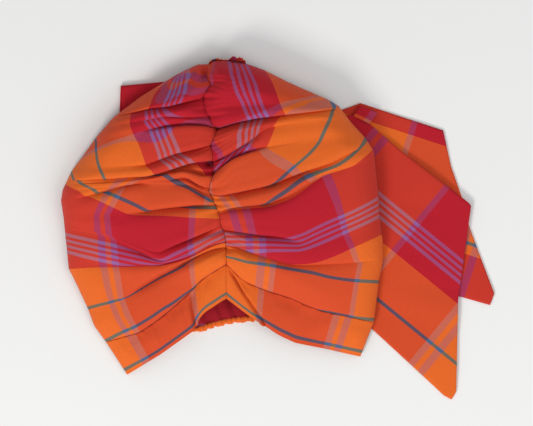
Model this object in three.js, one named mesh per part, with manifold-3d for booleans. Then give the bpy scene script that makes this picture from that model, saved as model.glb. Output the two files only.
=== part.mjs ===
// A gathered hair turban with two long ties, lying flat with its brow towards -Y.
// Millimetres, +Z up. The floor it lies on is z = 0.
import * as THREE from "three";
import Module from "manifold-3d";
import { mergeVertices } from "three/addons/utils/BufferGeometryUtils.js";

// Driving dimensions of the cap
const CAP_WIDTH = 372;          // across the flat cap, from side fold to side fold
const CAP_LENGTH = 367;         // from the crown to the lower hem corner
const CROWN_RISE = 44;          // how far the front stands off the back panel
const FOLD_DEPTH = 10;          // deepest crease below the puffs beside it
const PUFF_HEIGHT = 5;          // how far a full puff stands up between two creases
const SEAM_VALLEY = 10;         // how deep the centre seam is drawn in
const SEAM_VALLEY_WIDTH = 13;
const SEAM_BLEND = 14;          // over this far the folds of the two halves come to one level
const CREASE_WIDTH = 9;         // half the width of one crease
const EDGE_ROUNDING = 30;       // how far in from the side fold the front is still curling over
const FRONT_WALL = 1.6;
const BAND_WALL = 2.2;          // the doubled brow band
const BACK_WALL = 1.6;
const BACK_INSET = 0.8;         // the back panel ends this far inside the side fold
const GAP = 0.3;                // between pieces that are sewn together

// Driving dimensions of the nape casing and the crown gather
const CASING_HEIGHT = 6;
const CASING_THICKNESS = 4;
const CASING_WAVE = 0.7;
const CASING_GATHERS = 11;
const GATHER_HEIGHT = 15;       // the frill at the crown stands up this far
const GATHER_FLARE = 4;         // and leans out this far
const GATHER_PLEATS = 3;
const GATHER_REACH = 0.7;       // share of the right half's crown edge that it runs along

// Driving dimensions of the ties
const TIE_WIDTH = 177;
const TIE_WALL = 2.4;           // two plies
const REAR_TAIL_LENGTH = 99;    // along its upper edge, from the cap
const FRONT_TAIL_LENGTH = 173;
const REAR_TAIL_TURN = 18;      // degrees below the X axis
const FRONT_TAIL_TURN = 39.2;
const CUT_RUN = 120;            // how much longer the lower edge is than the upper one
const DRAPE_MARGIN = 16;        // cloth stays level this far past what it lies on
const DRAPE_RUN = 34;           // and comes down to the floor over this distance

// How finely the sheets are divided
const FRONT_ROWS = 48;
const BAND_ROWS = 4;
const FRONT_COLUMNS = [0, 0.035, 0.09, 0.17, 0.27, 0.38, 0.5, 0.62, 0.74, 0.84, 0.92, 0.97, 1];
const BACK_COLUMNS = [0, 0.05, 0.1, 0.16, 0.24, 0.38, 0.55, 0.72, 0.86, 0.94, 1];
const TIE_ROWS = 16;
const TIE_COLUMNS = 8;

// Shares of the cap: across from its left side fold, down from its crown
const SEAM = [
  { down: 0.023, across: 0.461 },
  { down: 0.065, across: 0.451 },
  { down: 0.088, across: 0.466 },
  { down: 0.131, across: 0.442 },
  { down: 0.169, across: 0.449 },
  { down: 0.228, across: 0.487 },
  { down: 0.281, across: 0.464 },
  { down: 0.328, across: 0.470 },
  { down: 0.363, across: 0.476 },
  { down: 0.421, across: 0.460 },
  { down: 0.466, across: 0.481 },
  { down: 0.509, across: 0.496 },
  { down: 0.551, across: 0.507 },
  { down: 0.601, across: 0.513 },
  { down: 0.652, across: 0.514 },
];
const LEFT_SIDE = [
  { down: 0.023, across: 0.461 },
  { down: 0.024, across: 0.417 },
  { down: 0.058, across: 0.356 },
  { down: 0.126, across: 0.247 },
  { down: 0.190, across: 0.164 },
  { down: 0.251, across: 0.111 },
  { down: 0.312, across: 0.068 },
  { down: 0.359, across: 0.033 },
  { down: 0.419, across: 0.005 },
  { down: 0.452, across: 0.000 },
  { down: 0.506, across: 0.008 },
  { down: 0.666, across: 0.024 },
  { down: 0.706, across: 0.044 },
  { down: 0.790, across: 0.083 },
  { down: 0.846, across: 0.103 },
  { down: 0.896, across: 0.139 },
  { down: 1.000, across: 0.206 },
];
const RIGHT_SIDE = [
  { down: 0.011, across: 0.475 },
  { down: 0.013, across: 0.525 },
  { down: 0.021, across: 0.577 },
  { down: 0.041, across: 0.630 },
  { down: 0.083, across: 0.713 },
  { down: 0.136, across: 0.833 },
  { down: 0.155, across: 0.863 },
  { down: 0.205, across: 0.900 },
  { down: 0.254, across: 0.945 },
  { down: 0.296, across: 0.972 },
  { down: 0.436, across: 0.986 },
  { down: 0.512, across: 0.990 },
  { down: 0.576, across: 0.999 },
  { down: 0.641, across: 1.000 },
  { down: 0.702, across: 0.988 },
  { down: 0.834, across: 0.972 },
  { down: 0.943, across: 0.930 },
];

// One row for each fold, from the crown to the brow band. seam: share of the way down the gathered
// seam. near and mid: where the fold lies a third and two thirds of the way out. side: where it meets
// the side fold. deep: depth of the crease at the seam, half way and at the side, as shares of
// FOLD_DEPTH. rise: height at the seam and at the side, as shares of CROWN_RISE.
const LEFT_FOLDS = [
  { fold: "crown edge", seam: 0, nearAcross: 0.426, nearDown: 0.024, midAcross: 0.392, midDown: 0.039,
    side: 0.058, deepSeam: 0, deepHalf: 0, deepSide: 0, riseSeam: 0.85, riseSide: 0.85 },
  { fold: "crown pleat", seam: 0.067, nearAcross: 0.390, nearDown: 0.080, midAcross: 0.315,
    midDown: 0.110, side: 0.126, deepSeam: 0.5, deepHalf: 0.1, deepSide: 0, riseSeam: 0.9,
    riseSide: 0.85 },
  { fold: "first", seam: 0.172, nearAcross: 0.377, nearDown: 0.148, midAcross: 0.281, midDown: 0.164,
    side: 0.190, deepSeam: 0.9, deepHalf: 0.7, deepSide: 0.35, riseSeam: 1, riseSide: 0.85 },
  { fold: "short", seam: 0.280, nearAcross: 0.356, nearDown: 0.190, midAcross: 0.247, midDown: 0.206,
    side: 0.225, deepSeam: 0.6, deepHalf: 0.05, deepSide: 0, riseSeam: 1, riseSide: 0.85 },
  { fold: "second", seam: 0.329, nearAcross: 0.365, nearDown: 0.219, midAcross: 0.247, midDown: 0.237,
    side: 0.270, deepSeam: 0.9, deepHalf: 0.35, deepSide: 0, riseSeam: 1, riseSide: 0.82 },
  { fold: "third", seam: 0.410, nearAcross: 0.359, nearDown: 0.306, midAcross: 0.264, midDown: 0.336,
    side: 0.345, deepSeam: 0.8, deepHalf: 0.4, deepSide: 0, riseSeam: 1, riseSide: 0.8 },
  { fold: "fourth", seam: 0.485, nearAcross: 0.353, nearDown: 0.350, midAcross: 0.170, midDown: 0.382,
    side: 0.385, deepSeam: 1, deepHalf: 0.8, deepSide: 0.7, riseSeam: 0.98, riseSide: 0.78 },
  { fold: "deep pocket", seam: 0.565, nearAcross: 0.371, nearDown: 0.372, midAcross: 0.175,
    midDown: 0.396, side: 0.400, deepSeam: 1, deepHalf: 0.4, deepSide: 0.2, riseSeam: 0.96,
    riseSide: 0.76 },
  { fold: "small", seam: 0.622, nearAcross: 0.387, nearDown: 0.399, midAcross: 0.176, midDown: 0.410,
    side: 0.428, deepSeam: 0.6, deepHalf: 0.1, deepSide: 0, riseSeam: 0.94, riseSide: 0.75 },
  { fold: "side", seam: 0.677, nearAcross: 0.370, nearDown: 0.435, midAcross: 0.170, midDown: 0.422,
    side: 0.460, deepSeam: 0.6, deepHalf: 0.35, deepSide: 0.1, riseSeam: 0.92, riseSide: 0.74 },
  { fold: "lavender", seam: 0.711, nearAcross: 0.356, nearDown: 0.480, midAcross: 0.207,
    midDown: 0.493, side: 0.510, deepSeam: 1, deepHalf: 0.45, deepSide: 0, riseSeam: 0.90,
    riseSide: 0.70 },
  { fold: "brow high", seam: 0.808, nearAcross: 0.395, nearDown: 0.575, midAcross: 0.278,
    midDown: 0.632, side: 0.670, deepSeam: 0.8, deepHalf: 0.3, deepSide: 0, riseSeam: 0.82,
    riseSide: 0.60 },
  { fold: "brow mid", seam: 0.882, nearAcross: 0.393, nearDown: 0.615, midAcross: 0.278,
    midDown: 0.670, side: 0.735, deepSeam: 0.6, deepHalf: 0.2, deepSide: 0, riseSeam: 0.76,
    riseSide: 0.50 },
  { fold: "brow low", seam: 0.922, nearAcross: 0.396, nearDown: 0.645, midAcross: 0.263,
    midDown: 0.717, side: 0.805, deepSeam: 0.7, deepHalf: 0.4, deepSide: 0, riseSeam: 0.72,
    riseSide: 0.42 },
  { fold: "band seam", seam: 1, nearAcross: 0.414, nearDown: 0.710, midAcross: 0.278, midDown: 0.845,
    side: 0.896, deepSeam: 0.3, deepHalf: 0.3, deepSide: 0.1, riseSeam: 0.66, riseSide: 0.32 },
];
const RIGHT_FOLDS = [
  { fold: "crown edge", seam: 0, nearAcross: 0.520, nearDown: 0.013, midAcross: 0.572, midDown: 0.020,
    side: 0.041, deepSeam: 0, deepHalf: 0, deepSide: 0, riseSeam: 0.85, riseSide: 0.85 },
  { fold: "crown pleat", seam: 0.107, nearAcross: 0.570, nearDown: 0.085, midAcross: 0.690,
    midDown: 0.100, side: 0.110, deepSeam: 0.5, deepHalf: 0.1, deepSide: 0, riseSeam: 0.95,
    riseSide: 0.85 },
  { fold: "soft", seam: 0.218, nearAcross: 0.590, nearDown: 0.150, midAcross: 0.730, midDown: 0.145,
    side: 0.140, deepSeam: 0.35, deepHalf: 0.05, deepSide: 0, riseSeam: 1, riseSide: 0.85 },
  { fold: "first", seam: 0.326, nearAcross: 0.588, nearDown: 0.201, midAcross: 0.727, midDown: 0.181,
    side: 0.165, deepSeam: 1, deepHalf: 0.8, deepSide: 0.4, riseSeam: 1, riseSide: 0.85 },
  { fold: "second", seam: 0.491, nearAcross: 0.588, nearDown: 0.266, midAcross: 0.711, midDown: 0.215,
    side: 0.200, deepSeam: 1, deepHalf: 0.3, deepSide: 0, riseSeam: 1, riseSide: 0.82 },
  { fold: "third", seam: 0.548, nearAcross: 0.597, nearDown: 0.297, midAcross: 0.758, midDown: 0.263,
    side: 0.250, deepSeam: 0.9, deepHalf: 0.3, deepSide: 0, riseSeam: 0.98, riseSide: 0.8 },
  { fold: "fourth", seam: 0.652, nearAcross: 0.603, nearDown: 0.414, midAcross: 0.750, midDown: 0.364,
    side: 0.310, deepSeam: 0.8, deepHalf: 0.7, deepSide: 0.2, riseSeam: 0.95, riseSide: 0.78 },
  { fold: "fifth", seam: 0.739, nearAcross: 0.638, nearDown: 0.465, midAcross: 0.798, midDown: 0.385,
    side: 0.360, deepSeam: 0.8, deepHalf: 0.25, deepSide: 0, riseSeam: 0.90, riseSide: 0.75 },
  { fold: "brow high", seam: 0.824, nearAcross: 0.649, nearDown: 0.568, midAcross: 0.810,
    midDown: 0.572, side: 0.540, deepSeam: 0.8, deepHalf: 0.5, deepSide: 0, riseSeam: 0.82,
    riseSide: 0.66 },
  { fold: "brow low", seam: 0.920, nearAcross: 0.665, nearDown: 0.635, midAcross: 0.819,
    midDown: 0.655, side: 0.650, deepSeam: 0.5, deepHalf: 0.25, deepSide: 0.1, riseSeam: 0.74,
    riseSide: 0.54 },
  { fold: "band seam", seam: 1, nearAcross: 0.643, nearDown: 0.736, midAcross: 0.810, midDown: 0.798,
    side: 0.834, deepSeam: 0.3, deepHalf: 0.3, deepSide: 0.1, riseSeam: 0.66, riseSide: 0.38 },
];

// The lower edge of each brow band, from the peak of the arch to the hem corner
const LEFT_HEM = [
  { across: 0.514, down: 0.759, rise: 0.58 },
  { across: 0.421, down: 0.842, rise: 0.48 },
  { across: 0.309, down: 0.936, rise: 0.34 },
  { across: 0.206, down: 1.000, rise: 0.20 },
];
const RIGHT_HEM = [
  { across: 0.514, down: 0.759, rise: 0.58 },
  { across: 0.640, down: 0.852, rise: 0.46 },
  { across: 0.790, down: 0.912, rise: 0.34 },
  { across: 0.930, down: 0.943, rise: 0.20 },
];
// Folds that run across a brow band: the share of the way out at its seam and at its hem
const LEFT_BROW_FOLD = { seam: 0.32, hem: 0.34, deep: 0.5 };
const RIGHT_BROW_FOLD = { seam: 0.02, hem: 0.35, deep: 0.45 };

// The part of the ties that lies under the cap, and where the tails come out
const TIE_FOLD_TOP = { across: 0.186, down: 0.091 };
const TIE_FOLD_STEP = { across: 0.319, down: 0.078 };
const TIE_FOLD_FOOT = { across: 0.190, down: 0.580 };
const TIE_UNDER_CROWN = [
  { across: 0.480, down: 0.072 },
  { across: 0.630, down: 0.082 },
  { across: 0.760, down: 0.130 },
  { across: 0.870, down: 0.168 },
];
const REAR_TAIL_START = { across: 0.930, down: 0.145 };
const TIE_SEWN_LINE = 0.700;    // where both ties are sewn to the back panel, across
const FRONT_TAIL_START = { across: 0.912, down: 0.184 };
const FRONT_TAIL_FOOT = { across: 0.965, down: 0.855 };
const TURNED_CORNER = [
  { across: 0.880, down: 0.190 },
  { across: 0.930, down: 0.147 },
  { across: 0.984, down: 0.177 },
  { across: 0.957, down: 0.210 },
  { across: 0.920, down: 0.250 },
];

const { lerp, clamp, smoothstep, degToRad } = THREE.MathUtils;
const TIE_LEVEL = TIE_WALL + GAP;               // height of one tie with its gap
const DECK = 2 * TIE_LEVEL;                     // what the back panel lies on over the ties

const wasm = await Module();
wasm.setup();

function at({ across, down }) {
  return new THREE.Vector2((across - 0.5) * CAP_WIDTH, (0.5 - down) * CAP_LENGTH);
}

// The value of one column where another column has a given value
function read(table, key, value, column) {
  const found = table.findIndex((row) => row[key] >= value);
  const high = clamp(found < 0 ? table.length - 1 : found, 1, table.length - 1);
  const from = table[high - 1];
  const to = table[high];
  const share = clamp((value - from[key]) / (to[key] - from[key]), 0, 1);
  return lerp(from[column], to[column], share);
}

function distanceToPath(path, x, y) {
  let nearest = Infinity;
  for (let i = 1; i < path.length; i += 1) {
    const along = path[i].clone().sub(path[i - 1]);
    const offset = new THREE.Vector2(x, y).sub(path[i - 1]);
    const share = clamp(offset.dot(along) / along.lengthSq(), 0, 1);
    nearest = Math.min(nearest, offset.addScaledVector(along, -share).length());
  }
  return nearest;
}

function isInside(path, x, y) {
  let inside = false;
  for (let i = 0, j = path.length - 1; i < path.length; j = i, i += 1) {
    const a = path[i];
    const b = path[j];
    const crosses = (a.y > y) !== (b.y > y);
    if (crosses && x < a.x + ((y - a.y) * (b.x - a.x)) / (b.y - a.y)) inside = !inside;
  }
  return inside;
}

// 1 on a layer and DRAPE_MARGIN round it, falling to 0 on the floor beyond
function drapeOver(outline, x, y) {
  if (isInside(outline, x, y)) return 1;
  const distance = distanceToPath([...outline, outline[0]], x, y);
  return 1 - smoothstep(distance, DRAPE_MARGIN, DRAPE_MARGIN + DRAPE_RUN);
}

// Closed sheet between two grids of points, with its four edges closed
function closedSheet(outer, inner) {
  const rows = outer.length;
  const columns = outer[0].length;
  const vertices = [...outer.flat(), ...inner.flat()];
  const index = [];
  const quad = (a, b, c, d) => index.push(a, b, c, a, c, d);
  const top = (i, j) => i * columns + j;
  const bottom = (i, j) => rows * columns + top(i, j);
  for (let i = 0; i < rows - 1; i += 1) {
    for (let j = 0; j < columns - 1; j += 1) {
      quad(top(i, j), top(i, j + 1), top(i + 1, j + 1), top(i + 1, j));
      quad(bottom(i, j), bottom(i + 1, j), bottom(i + 1, j + 1), bottom(i, j + 1));
    }
  }
  for (let i = 0; i < rows - 1; i += 1) {
    quad(top(i, 0), top(i + 1, 0), bottom(i + 1, 0), bottom(i, 0));
    quad(top(i + 1, columns - 1), top(i, columns - 1), bottom(i, columns - 1), bottom(i + 1, columns - 1));
  }
  for (let j = 0; j < columns - 1; j += 1) {
    quad(top(0, j + 1), top(0, j), bottom(0, j), bottom(0, j + 1));
    quad(top(rows - 1, j), top(rows - 1, j + 1), bottom(rows - 1, j + 1), bottom(rows - 1, j));
  }
  return facingOut(vertices, index);
}

function facingOut(vertices, index) {
  let volume = 0;
  for (let i = 0; i < index.length; i += 3) {
    const [a, b, c] = [vertices[index[i]], vertices[index[i + 1]], vertices[index[i + 2]]];
    volume += a.dot(new THREE.Vector3().crossVectors(b, c));
  }
  const geometry = new THREE.BufferGeometry().setFromPoints(vertices);
  geometry.setIndex(volume > 0 ? index : index.toReversed());
  geometry.computeVertexNormals();
  return geometry;
}

// The front: one half on each side of the gathered seam
const LEFT = { side: LEFT_SIDE, folds: LEFT_FOLDS, hem: LEFT_HEM, browFold: LEFT_BROW_FOLD, turn: -1 };
const RIGHT = { side: RIGHT_SIDE, folds: RIGHT_FOLDS, hem: RIGHT_HEM, browFold: RIGHT_BROW_FOLD, turn: 1 };
const SEAM_TOP = SEAM[0].down;
const SEAM_FOOT = SEAM[SEAM.length - 1].down;

// Each crease lies on a row of vertices
for (const half of [LEFT, RIGHT]) {
  half.folds = half.folds.map((row) => ({ ...row, seam: Math.round(row.seam * FRONT_ROWS) / FRONT_ROWS }));
}

function sidePoint(half, row) {
  const down = read(half.folds, "seam", row, "side");
  return at({ down, across: read(half.side, "down", down, "across") });
}

function planPoint(half, row, out) {
  const down = lerp(SEAM_TOP, SEAM_FOOT, row);
  const seam = at({ down, across: read(SEAM, "down", down, "across") });
  seam.x += (half.turn * GAP) / 2;
  const column = (name) => read(half.folds, "seam", row, name);
  const near = at({ across: column("nearAcross"), down: column("nearDown") });
  const mid = at({ across: column("midAcross"), down: column("midDown") });
  return new THREE.SplineCurve([seam, near, mid, sidePoint(half, row)]).getPoint(out);
}

// The whole rim: up the left side fold, over the crown edge and down the right side fold
const below = (half) => half.side.filter((row) => row.down > half.folds[0].side).map(at);
const crownEdge = (half) => FRONT_COLUMNS.map((out) => planPoint(half, 0, out));
const SIDE_FOLD = [...below(LEFT).toReversed(), ...crownEdge(LEFT).toReversed(), ...crownEdge(RIGHT),
  ...below(RIGHT)];

// 0 at the side fold and 1 where the front has stopped curling over
function curl(x, y) {
  const share = clamp(distanceToPath(SIDE_FOLD, x, y) / EDGE_ROUNDING, 0, 1);
  return Math.sqrt(1 - (1 - share) ** 2);
}

function threeWay(seam, half, side, out) {
  return out < 0.5 ? lerp(seam, half, out * 2) : lerp(half, side, out * 2 - 1);
}

// Height that the creases and puffs add at one place of the front
function foldHeight(half, row, out) {
  const next = clamp(half.folds.findIndex((fold) => fold.seam >= row), 1, half.folds.length - 1);
  const [above, below] = [half.folds[next - 1], half.folds[next]];
  const share = (row - above.seam) / (below.seam - above.seam);
  const width = planPoint(half, above.seam, out).distanceTo(planPoint(half, below.seam, out));
  const crease = (fold, distance) => {
    const depth = threeWay(fold.deepSeam, fold.deepHalf, fold.deepSide, out);
    return FOLD_DEPTH * depth * Math.max(0, 1 - distance / CREASE_WIDTH) ** 1.5;
  };
  const fullness = clamp(width / (3 * CREASE_WIDTH), 0, 1);
  const puff = PUFF_HEIGHT * fullness * 4 * share * (1 - share);
  return puff - crease(above, share * width) - crease(below, (1 - share) * width);
}

function seamValley(row, distance) {
  return SEAM_VALLEY * lerp(1, 0.25, row) * Math.exp(-((distance / SEAM_VALLEY_WIDTH) ** 2));
}

function browFoldHeight(half, share, out) {
  const { seam, hem, deep } = half.browFold;
  const away = Math.abs(out - lerp(seam, hem, share)) * 0.5 * CAP_WIDTH;
  return -FOLD_DEPTH * deep * Math.max(0, 1 - away / CREASE_WIDTH);
}

// Top of the back panel, which the rim of the front stands on
function rimHeight(x, y) {
  return DECK * underTies(x, y) + BACK_WALL + GAP;
}

// The two halves are sewn together, so their folds come to one level along the seam
function meetAtSeam(ownHeight, half, distance) {
  const level = (ownHeight(LEFT) + ownHeight(RIGHT)) / 2;
  return (level - ownHeight(half)) * Math.exp(-((distance / SEAM_BLEND) ** 2));
}

function frontPoint(half, row, out, withFolds) {
  const plan = planPoint(half, row, out);
  const column = (name) => read(half.folds, "seam", row, name);
  let height = CROWN_RISE * lerp(column("riseSeam"), column("riseSide"), out);
  if (withFolds) {
    const toSeam = plan.distanceTo(planPoint(half, row, 0));
    const folds = (side, place) => foldHeight(side, row, place)
      + CROWN_RISE * read(side.folds, "seam", row, "riseSeam") * (place === 0 ? 1 : 0);
    height += foldHeight(half, row, out) - seamValley(row, toSeam);
    height += meetAtSeam((side) => folds(side, 0), half, toSeam);
    height += browFoldHeight(half, 0, out) * smoothstep(row, 0.85, 1);
  }
  return new THREE.Vector3(plan.x, plan.y, rimHeight(plan.x, plan.y) + height * curl(plan.x, plan.y));
}

function hemPoint(half, out) {
  const curve = new THREE.SplineCurve(half.hem.map(at));
  const point = curve.getPoint(out);
  point.x += (half.turn * GAP * (1 - out)) / 2;
  const rise = new THREE.SplineCurve(half.hem.map((row, i) => new THREE.Vector2(i, row.rise)));
  return { plan: point, rise: rise.getPoint(out).y };
}

function bandPoint(half, share, out, withFolds) {
  const top = planPoint(half, 1, out);
  const hem = hemPoint(half, out);
  const run = hem.plan.distanceTo(top);
  const plan = top.lerp(hem.plan, lerp(GAP / run, 1, share));
  const column = (name) => read(half.folds, "seam", 1, name);
  const seamRise = lerp(column("riseSeam"), column("riseSide"), out);
  let height = CROWN_RISE * lerp(seamRise, hem.rise, share);
  if (withFolds) {
    const toSeam = plan.distanceTo(planPoint(half, 1, 0).lerp(hemPoint(half, 0).plan, share));
    const folds = (side, place) => foldHeight(side, 1, place) * (1 - share) ** 2
      + browFoldHeight(side, share, place) * (place === 0 ? smoothstep(share, 0, 0.3) : 1);
    height += foldHeight(half, 1, out) * (1 - share) ** 2 + browFoldHeight(half, share, out);
    height += meetAtSeam((side) => folds(side, 0), half, toSeam);
    height += 0.5 * PUFF_HEIGHT * Math.sin(Math.PI * share) - seamValley(1, toSeam);
  }
  return new THREE.Vector3(plan.x, plan.y, rimHeight(plan.x, plan.y) + height * curl(plan.x, plan.y));
}

// Which way is inward through the cloth, from the smooth form without its folds
function inward(surface, row, out, rimRow) {
  const onRim = out === 1 || row === rimRow;
  if (out === 0) return onRim ? new THREE.Vector3(0, -1, 0) : new THREE.Vector3(0, 0, -1);
  const step = 0.004;
  const [rowA, rowB] = [Math.max(0, row - step), Math.min(1, row + step)];
  const [outA, outB] = [Math.max(0, out - step), Math.min(1, out + step)];
  const along = surface(rowB, out).sub(surface(rowA, out));
  const across = surface(row, outB).sub(surface(row, outA));
  const normal = along.cross(across);
  if (normal.z > 0) normal.negate();
  if (onRim) {
    normal.z = 0;
    if (normal.dot(surface(row, out)) > 0) normal.negate();
  }
  return normal.normalize();
}

function curvedSheet(point, inwardAt, rows, wall) {
  const outer = rows.map((row) => FRONT_COLUMNS.map((out) => point(row, out)));
  const inner = outer.map((line, i) => line.map((vertex, j) => (
    vertex.clone().addScaledVector(inwardAt(rows[i], FRONT_COLUMNS[j]), wall))));
  return closedSheet(outer, inner);
}

function frontHalf(half) {
  const smooth = (row, out) => frontPoint(half, row, out, false);
  const point = (row, out) => frontPoint(half, row, out, true);
  return curvedSheet(point, (row, out) => inward(smooth, row, out, 0), evenSteps(FRONT_ROWS), FRONT_WALL);
}

// The band leaves the front along one line, so both walls are cut the same way there
function browBand(half) {
  const smoothFront = (row, out) => frontPoint(half, row, out, false);
  const smooth = (share, out) => bandPoint(half, share, out, false);
  const inwardAt = (share, out) => (share === 0 ? inward(smoothFront, 1, out) : inward(smooth, share, out));
  return curvedSheet((share, out) => bandPoint(half, share, out, true), inwardAt, evenSteps(BAND_ROWS),
    BAND_WALL);
}

function evenSteps(count) {
  return Array.from({ length: count + 1 }, (_, i) => i / count);
}

// The ties: doubled straps with their ends cut on the slant
function heading(degrees) {
  const angle = degToRad(-degrees);
  return new THREE.Vector2(Math.cos(angle), Math.sin(angle));
}

function tailEnd(start, degrees, length) {
  const along = heading(degrees);
  const across = new THREE.Vector2(along.y, -along.x);
  const upper = start.clone().addScaledVector(along, length);
  const lower = start.clone().addScaledVector(along, length + CUT_RUN).addScaledVector(across, TIE_WIDTH);
  return { upper, lower, along };
}

const REAR_TAIL = tailEnd(at(REAR_TAIL_START), REAR_TAIL_TURN, REAR_TAIL_LENGTH);
const FRONT_TAIL = tailEnd(at(FRONT_TAIL_START), FRONT_TAIL_TURN, FRONT_TAIL_LENGTH);

const REAR_UPPER = [at(TIE_FOLD_TOP), at(TIE_FOLD_STEP), ...TIE_UNDER_CROWN.map(at), at(REAR_TAIL_START),
  REAR_TAIL.upper];
const REAR_LOWER_BEND = REAR_TAIL.lower.clone().addScaledVector(REAR_TAIL.along, -1.15 * TIE_WIDTH);
const REAR_LOWER = [at(TIE_FOLD_FOOT), REAR_LOWER_BEND, REAR_TAIL.lower];
const FRONT_SEWN_TOP = { across: TIE_SEWN_LINE + 0.02, down: 0.19 };
const FRONT_SEWN_FOOT = { across: TIE_SEWN_LINE + 0.02, down: 0.62 };
const FRONT_UPPER = [at(FRONT_SEWN_TOP), at(FRONT_TAIL_START), FRONT_TAIL.upper];
const FRONT_LOWER = [at(FRONT_SEWN_FOOT), at(FRONT_TAIL_FOOT), FRONT_TAIL.lower];

const REAR_OUTLINE = [...REAR_UPPER, ...REAR_LOWER.toReversed()];
const FRONT_OUTLINE = [...FRONT_UPPER, ...FRONT_LOWER.toReversed()];

// 1 where the cap lies on the ties, 0 where it lies on the floor
function underTies(x, y) {
  return Math.max(drapeOver(REAR_OUTLINE, x, y), drapeOver(FRONT_OUTLINE, x, y));
}

function alongPath(path, share) {
  const lengths = [0];
  for (let i = 1; i < path.length; i += 1) lengths.push(lengths[i - 1] + path[i].distanceTo(path[i - 1]));
  const target = share * lengths[lengths.length - 1];
  const next = clamp(lengths.findIndex((length) => length >= target), 1, path.length - 1);
  const part = (target - lengths[next - 1]) / (lengths[next] - lengths[next - 1]);
  return path[next - 1].clone().lerp(path[next], part);
}

function strapSheet(upper, lower, floor, rowCount) {
  const bottom = evenSteps(rowCount).map((row) => evenSteps(TIE_COLUMNS).map((across) => {
    const plan = alongPath(upper, row).lerp(alongPath(lower, row), across);
    return new THREE.Vector3(plan.x, plan.y, floor(plan.x, plan.y));
  }));
  const top = bottom.map((line) => line.map((point) => point.clone().setZ(point.z + TIE_WALL)));
  return closedSheet(top, bottom);
}

function toManifold(geometry) {
  const bare = geometry.clone();
  bare.deleteAttribute("normal");
  bare.deleteAttribute("uv");
  const merged = mergeVertices(bare, 1e-4);
  return new wasm.Manifold(new wasm.Mesh({
    numProp: 3,
    vertProperties: new Float32Array(merged.attributes.position.array),
    triVerts: new Uint32Array(merged.index.array),
  }));
}

function fromManifold(solid) {
  const mesh = solid.getMesh();
  const geometry = new THREE.BufferGeometry();
  geometry.setAttribute("position", new THREE.BufferAttribute(mesh.vertProperties, 3));
  geometry.setIndex(new THREE.BufferAttribute(mesh.triVerts, 1));
  geometry.computeVertexNormals();
  return geometry;
}

function flatPiece(outline, bottom, thickness) {
  const shape = new THREE.Shape(outline);
  const geometry = new THREE.ExtrudeGeometry(shape, { depth: thickness, bevelEnabled: false });
  return geometry.translate(0, 0, bottom);
}

// The strap goes out to the left under the cap, folds under itself and comes back as the rear tail
function tieLeft() {
  const lowerRun = strapSheet(REAR_UPPER, REAR_LOWER, () => 0, TIE_ROWS);
  const foldTop = at(TIE_FOLD_TOP);
  const foldFoot = at(TIE_FOLD_FOOT);
  const sewn = at({ across: TIE_SEWN_LINE - 0.02, down: 0 }).x;
  const upperRun = [foldTop, at(TIE_FOLD_STEP), at(TIE_UNDER_CROWN[0]),
    new THREE.Vector2(sewn, at(TIE_UNDER_CROWN[1]).y), new THREE.Vector2(sewn, foldFoot.y), foldFoot];
  const foldEdge = [foldTop, foldTop.clone().setX(foldTop.x + TIE_WALL),
    foldFoot.clone().setX(foldFoot.x + TIE_WALL), foldFoot];
  const solid = toManifold(lowerRun)
    .add(toManifold(flatPiece(upperRun, TIE_LEVEL, TIE_WALL)))
    .add(toManifold(flatPiece(foldEdge, TIE_WALL / 2, TIE_LEVEL)));
  return fromManifold(solid);
}

function tieRight() {
  const overRearTail = (x, y) => TIE_LEVEL * drapeOver(REAR_OUTLINE, x, y);
  const strap = strapSheet(FRONT_UPPER, FRONT_LOWER, overRearTail, TIE_ROWS);
  const corner = flatPiece(TURNED_CORNER.map(at), TIE_LEVEL, TIE_WALL);
  return fromManifold(toManifold(strap).add(toManifold(corner)));
}

// The back panel: one row for each row of the front and of the bands, out to the same side folds
const HEM_CORNERS = [at(LEFT_HEM[LEFT_HEM.length - 1]), at(RIGHT_HEM[RIGHT_HEM.length - 1])];
const NAPE_ARCH = 0.131 * CAP_LENGTH;           // how far the nape is drawn up between the corners
const CROWN_ARCH = 0.022 * CAP_LENGTH;

// A point of the nape, moved up from its middle line by a distance square to that line
function napePoint(share, above) {
  const [left, right] = HEM_CORNERS;
  const inset = CASING_HEIGHT;
  const chord = right.clone().sub(left);
  const rise = 4 * NAPE_ARCH * (1 - 2 * share);
  const across = new THREE.Vector2(-chord.y - rise, chord.x - 2 * inset).normalize();
  const plan = left.clone().addScaledVector(chord, share);
  plan.x += lerp(inset, -inset, share);
  plan.y += 4 * NAPE_ARCH * share * (1 - share) + inset;
  return plan.addScaledVector(across, above);
}

function backPoint(row, share) {
  const foot = Math.min(row, 1);
  const plan = sidePoint(LEFT, foot).lerp(sidePoint(RIGHT, foot), share);
  plan.x += lerp(BACK_INSET, -BACK_INSET, share);
  const arch = CROWN_ARCH * (1 - smoothstep(foot, 0, 0.3)) + NAPE_ARCH * smoothstep(foot, 0.2, 1);
  plan.y += arch * 4 * share * (1 - share) - BACK_INSET * Math.max(0, 1 - 8 * foot);
  const napeEdge = napePoint(share, CASING_HEIGHT / 2 + CASING_WAVE + GAP);
  return plan.lerp(napeEdge, row - foot);
}

function backPanel() {
  const rows = [...evenSteps(FRONT_ROWS), ...evenSteps(BAND_ROWS).slice(1).map((share) => 1 + share)];
  const bottom = rows.map((row) => BACK_COLUMNS.map((share) => {
    const plan = backPoint(row, share);
    return new THREE.Vector3(plan.x, plan.y, DECK * underTies(plan.x, plan.y));
  }));
  const top = bottom.map((line) => line.map((point) => point.clone().setZ(point.z + BACK_WALL)));
  return closedSheet(top, bottom);
}

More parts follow.
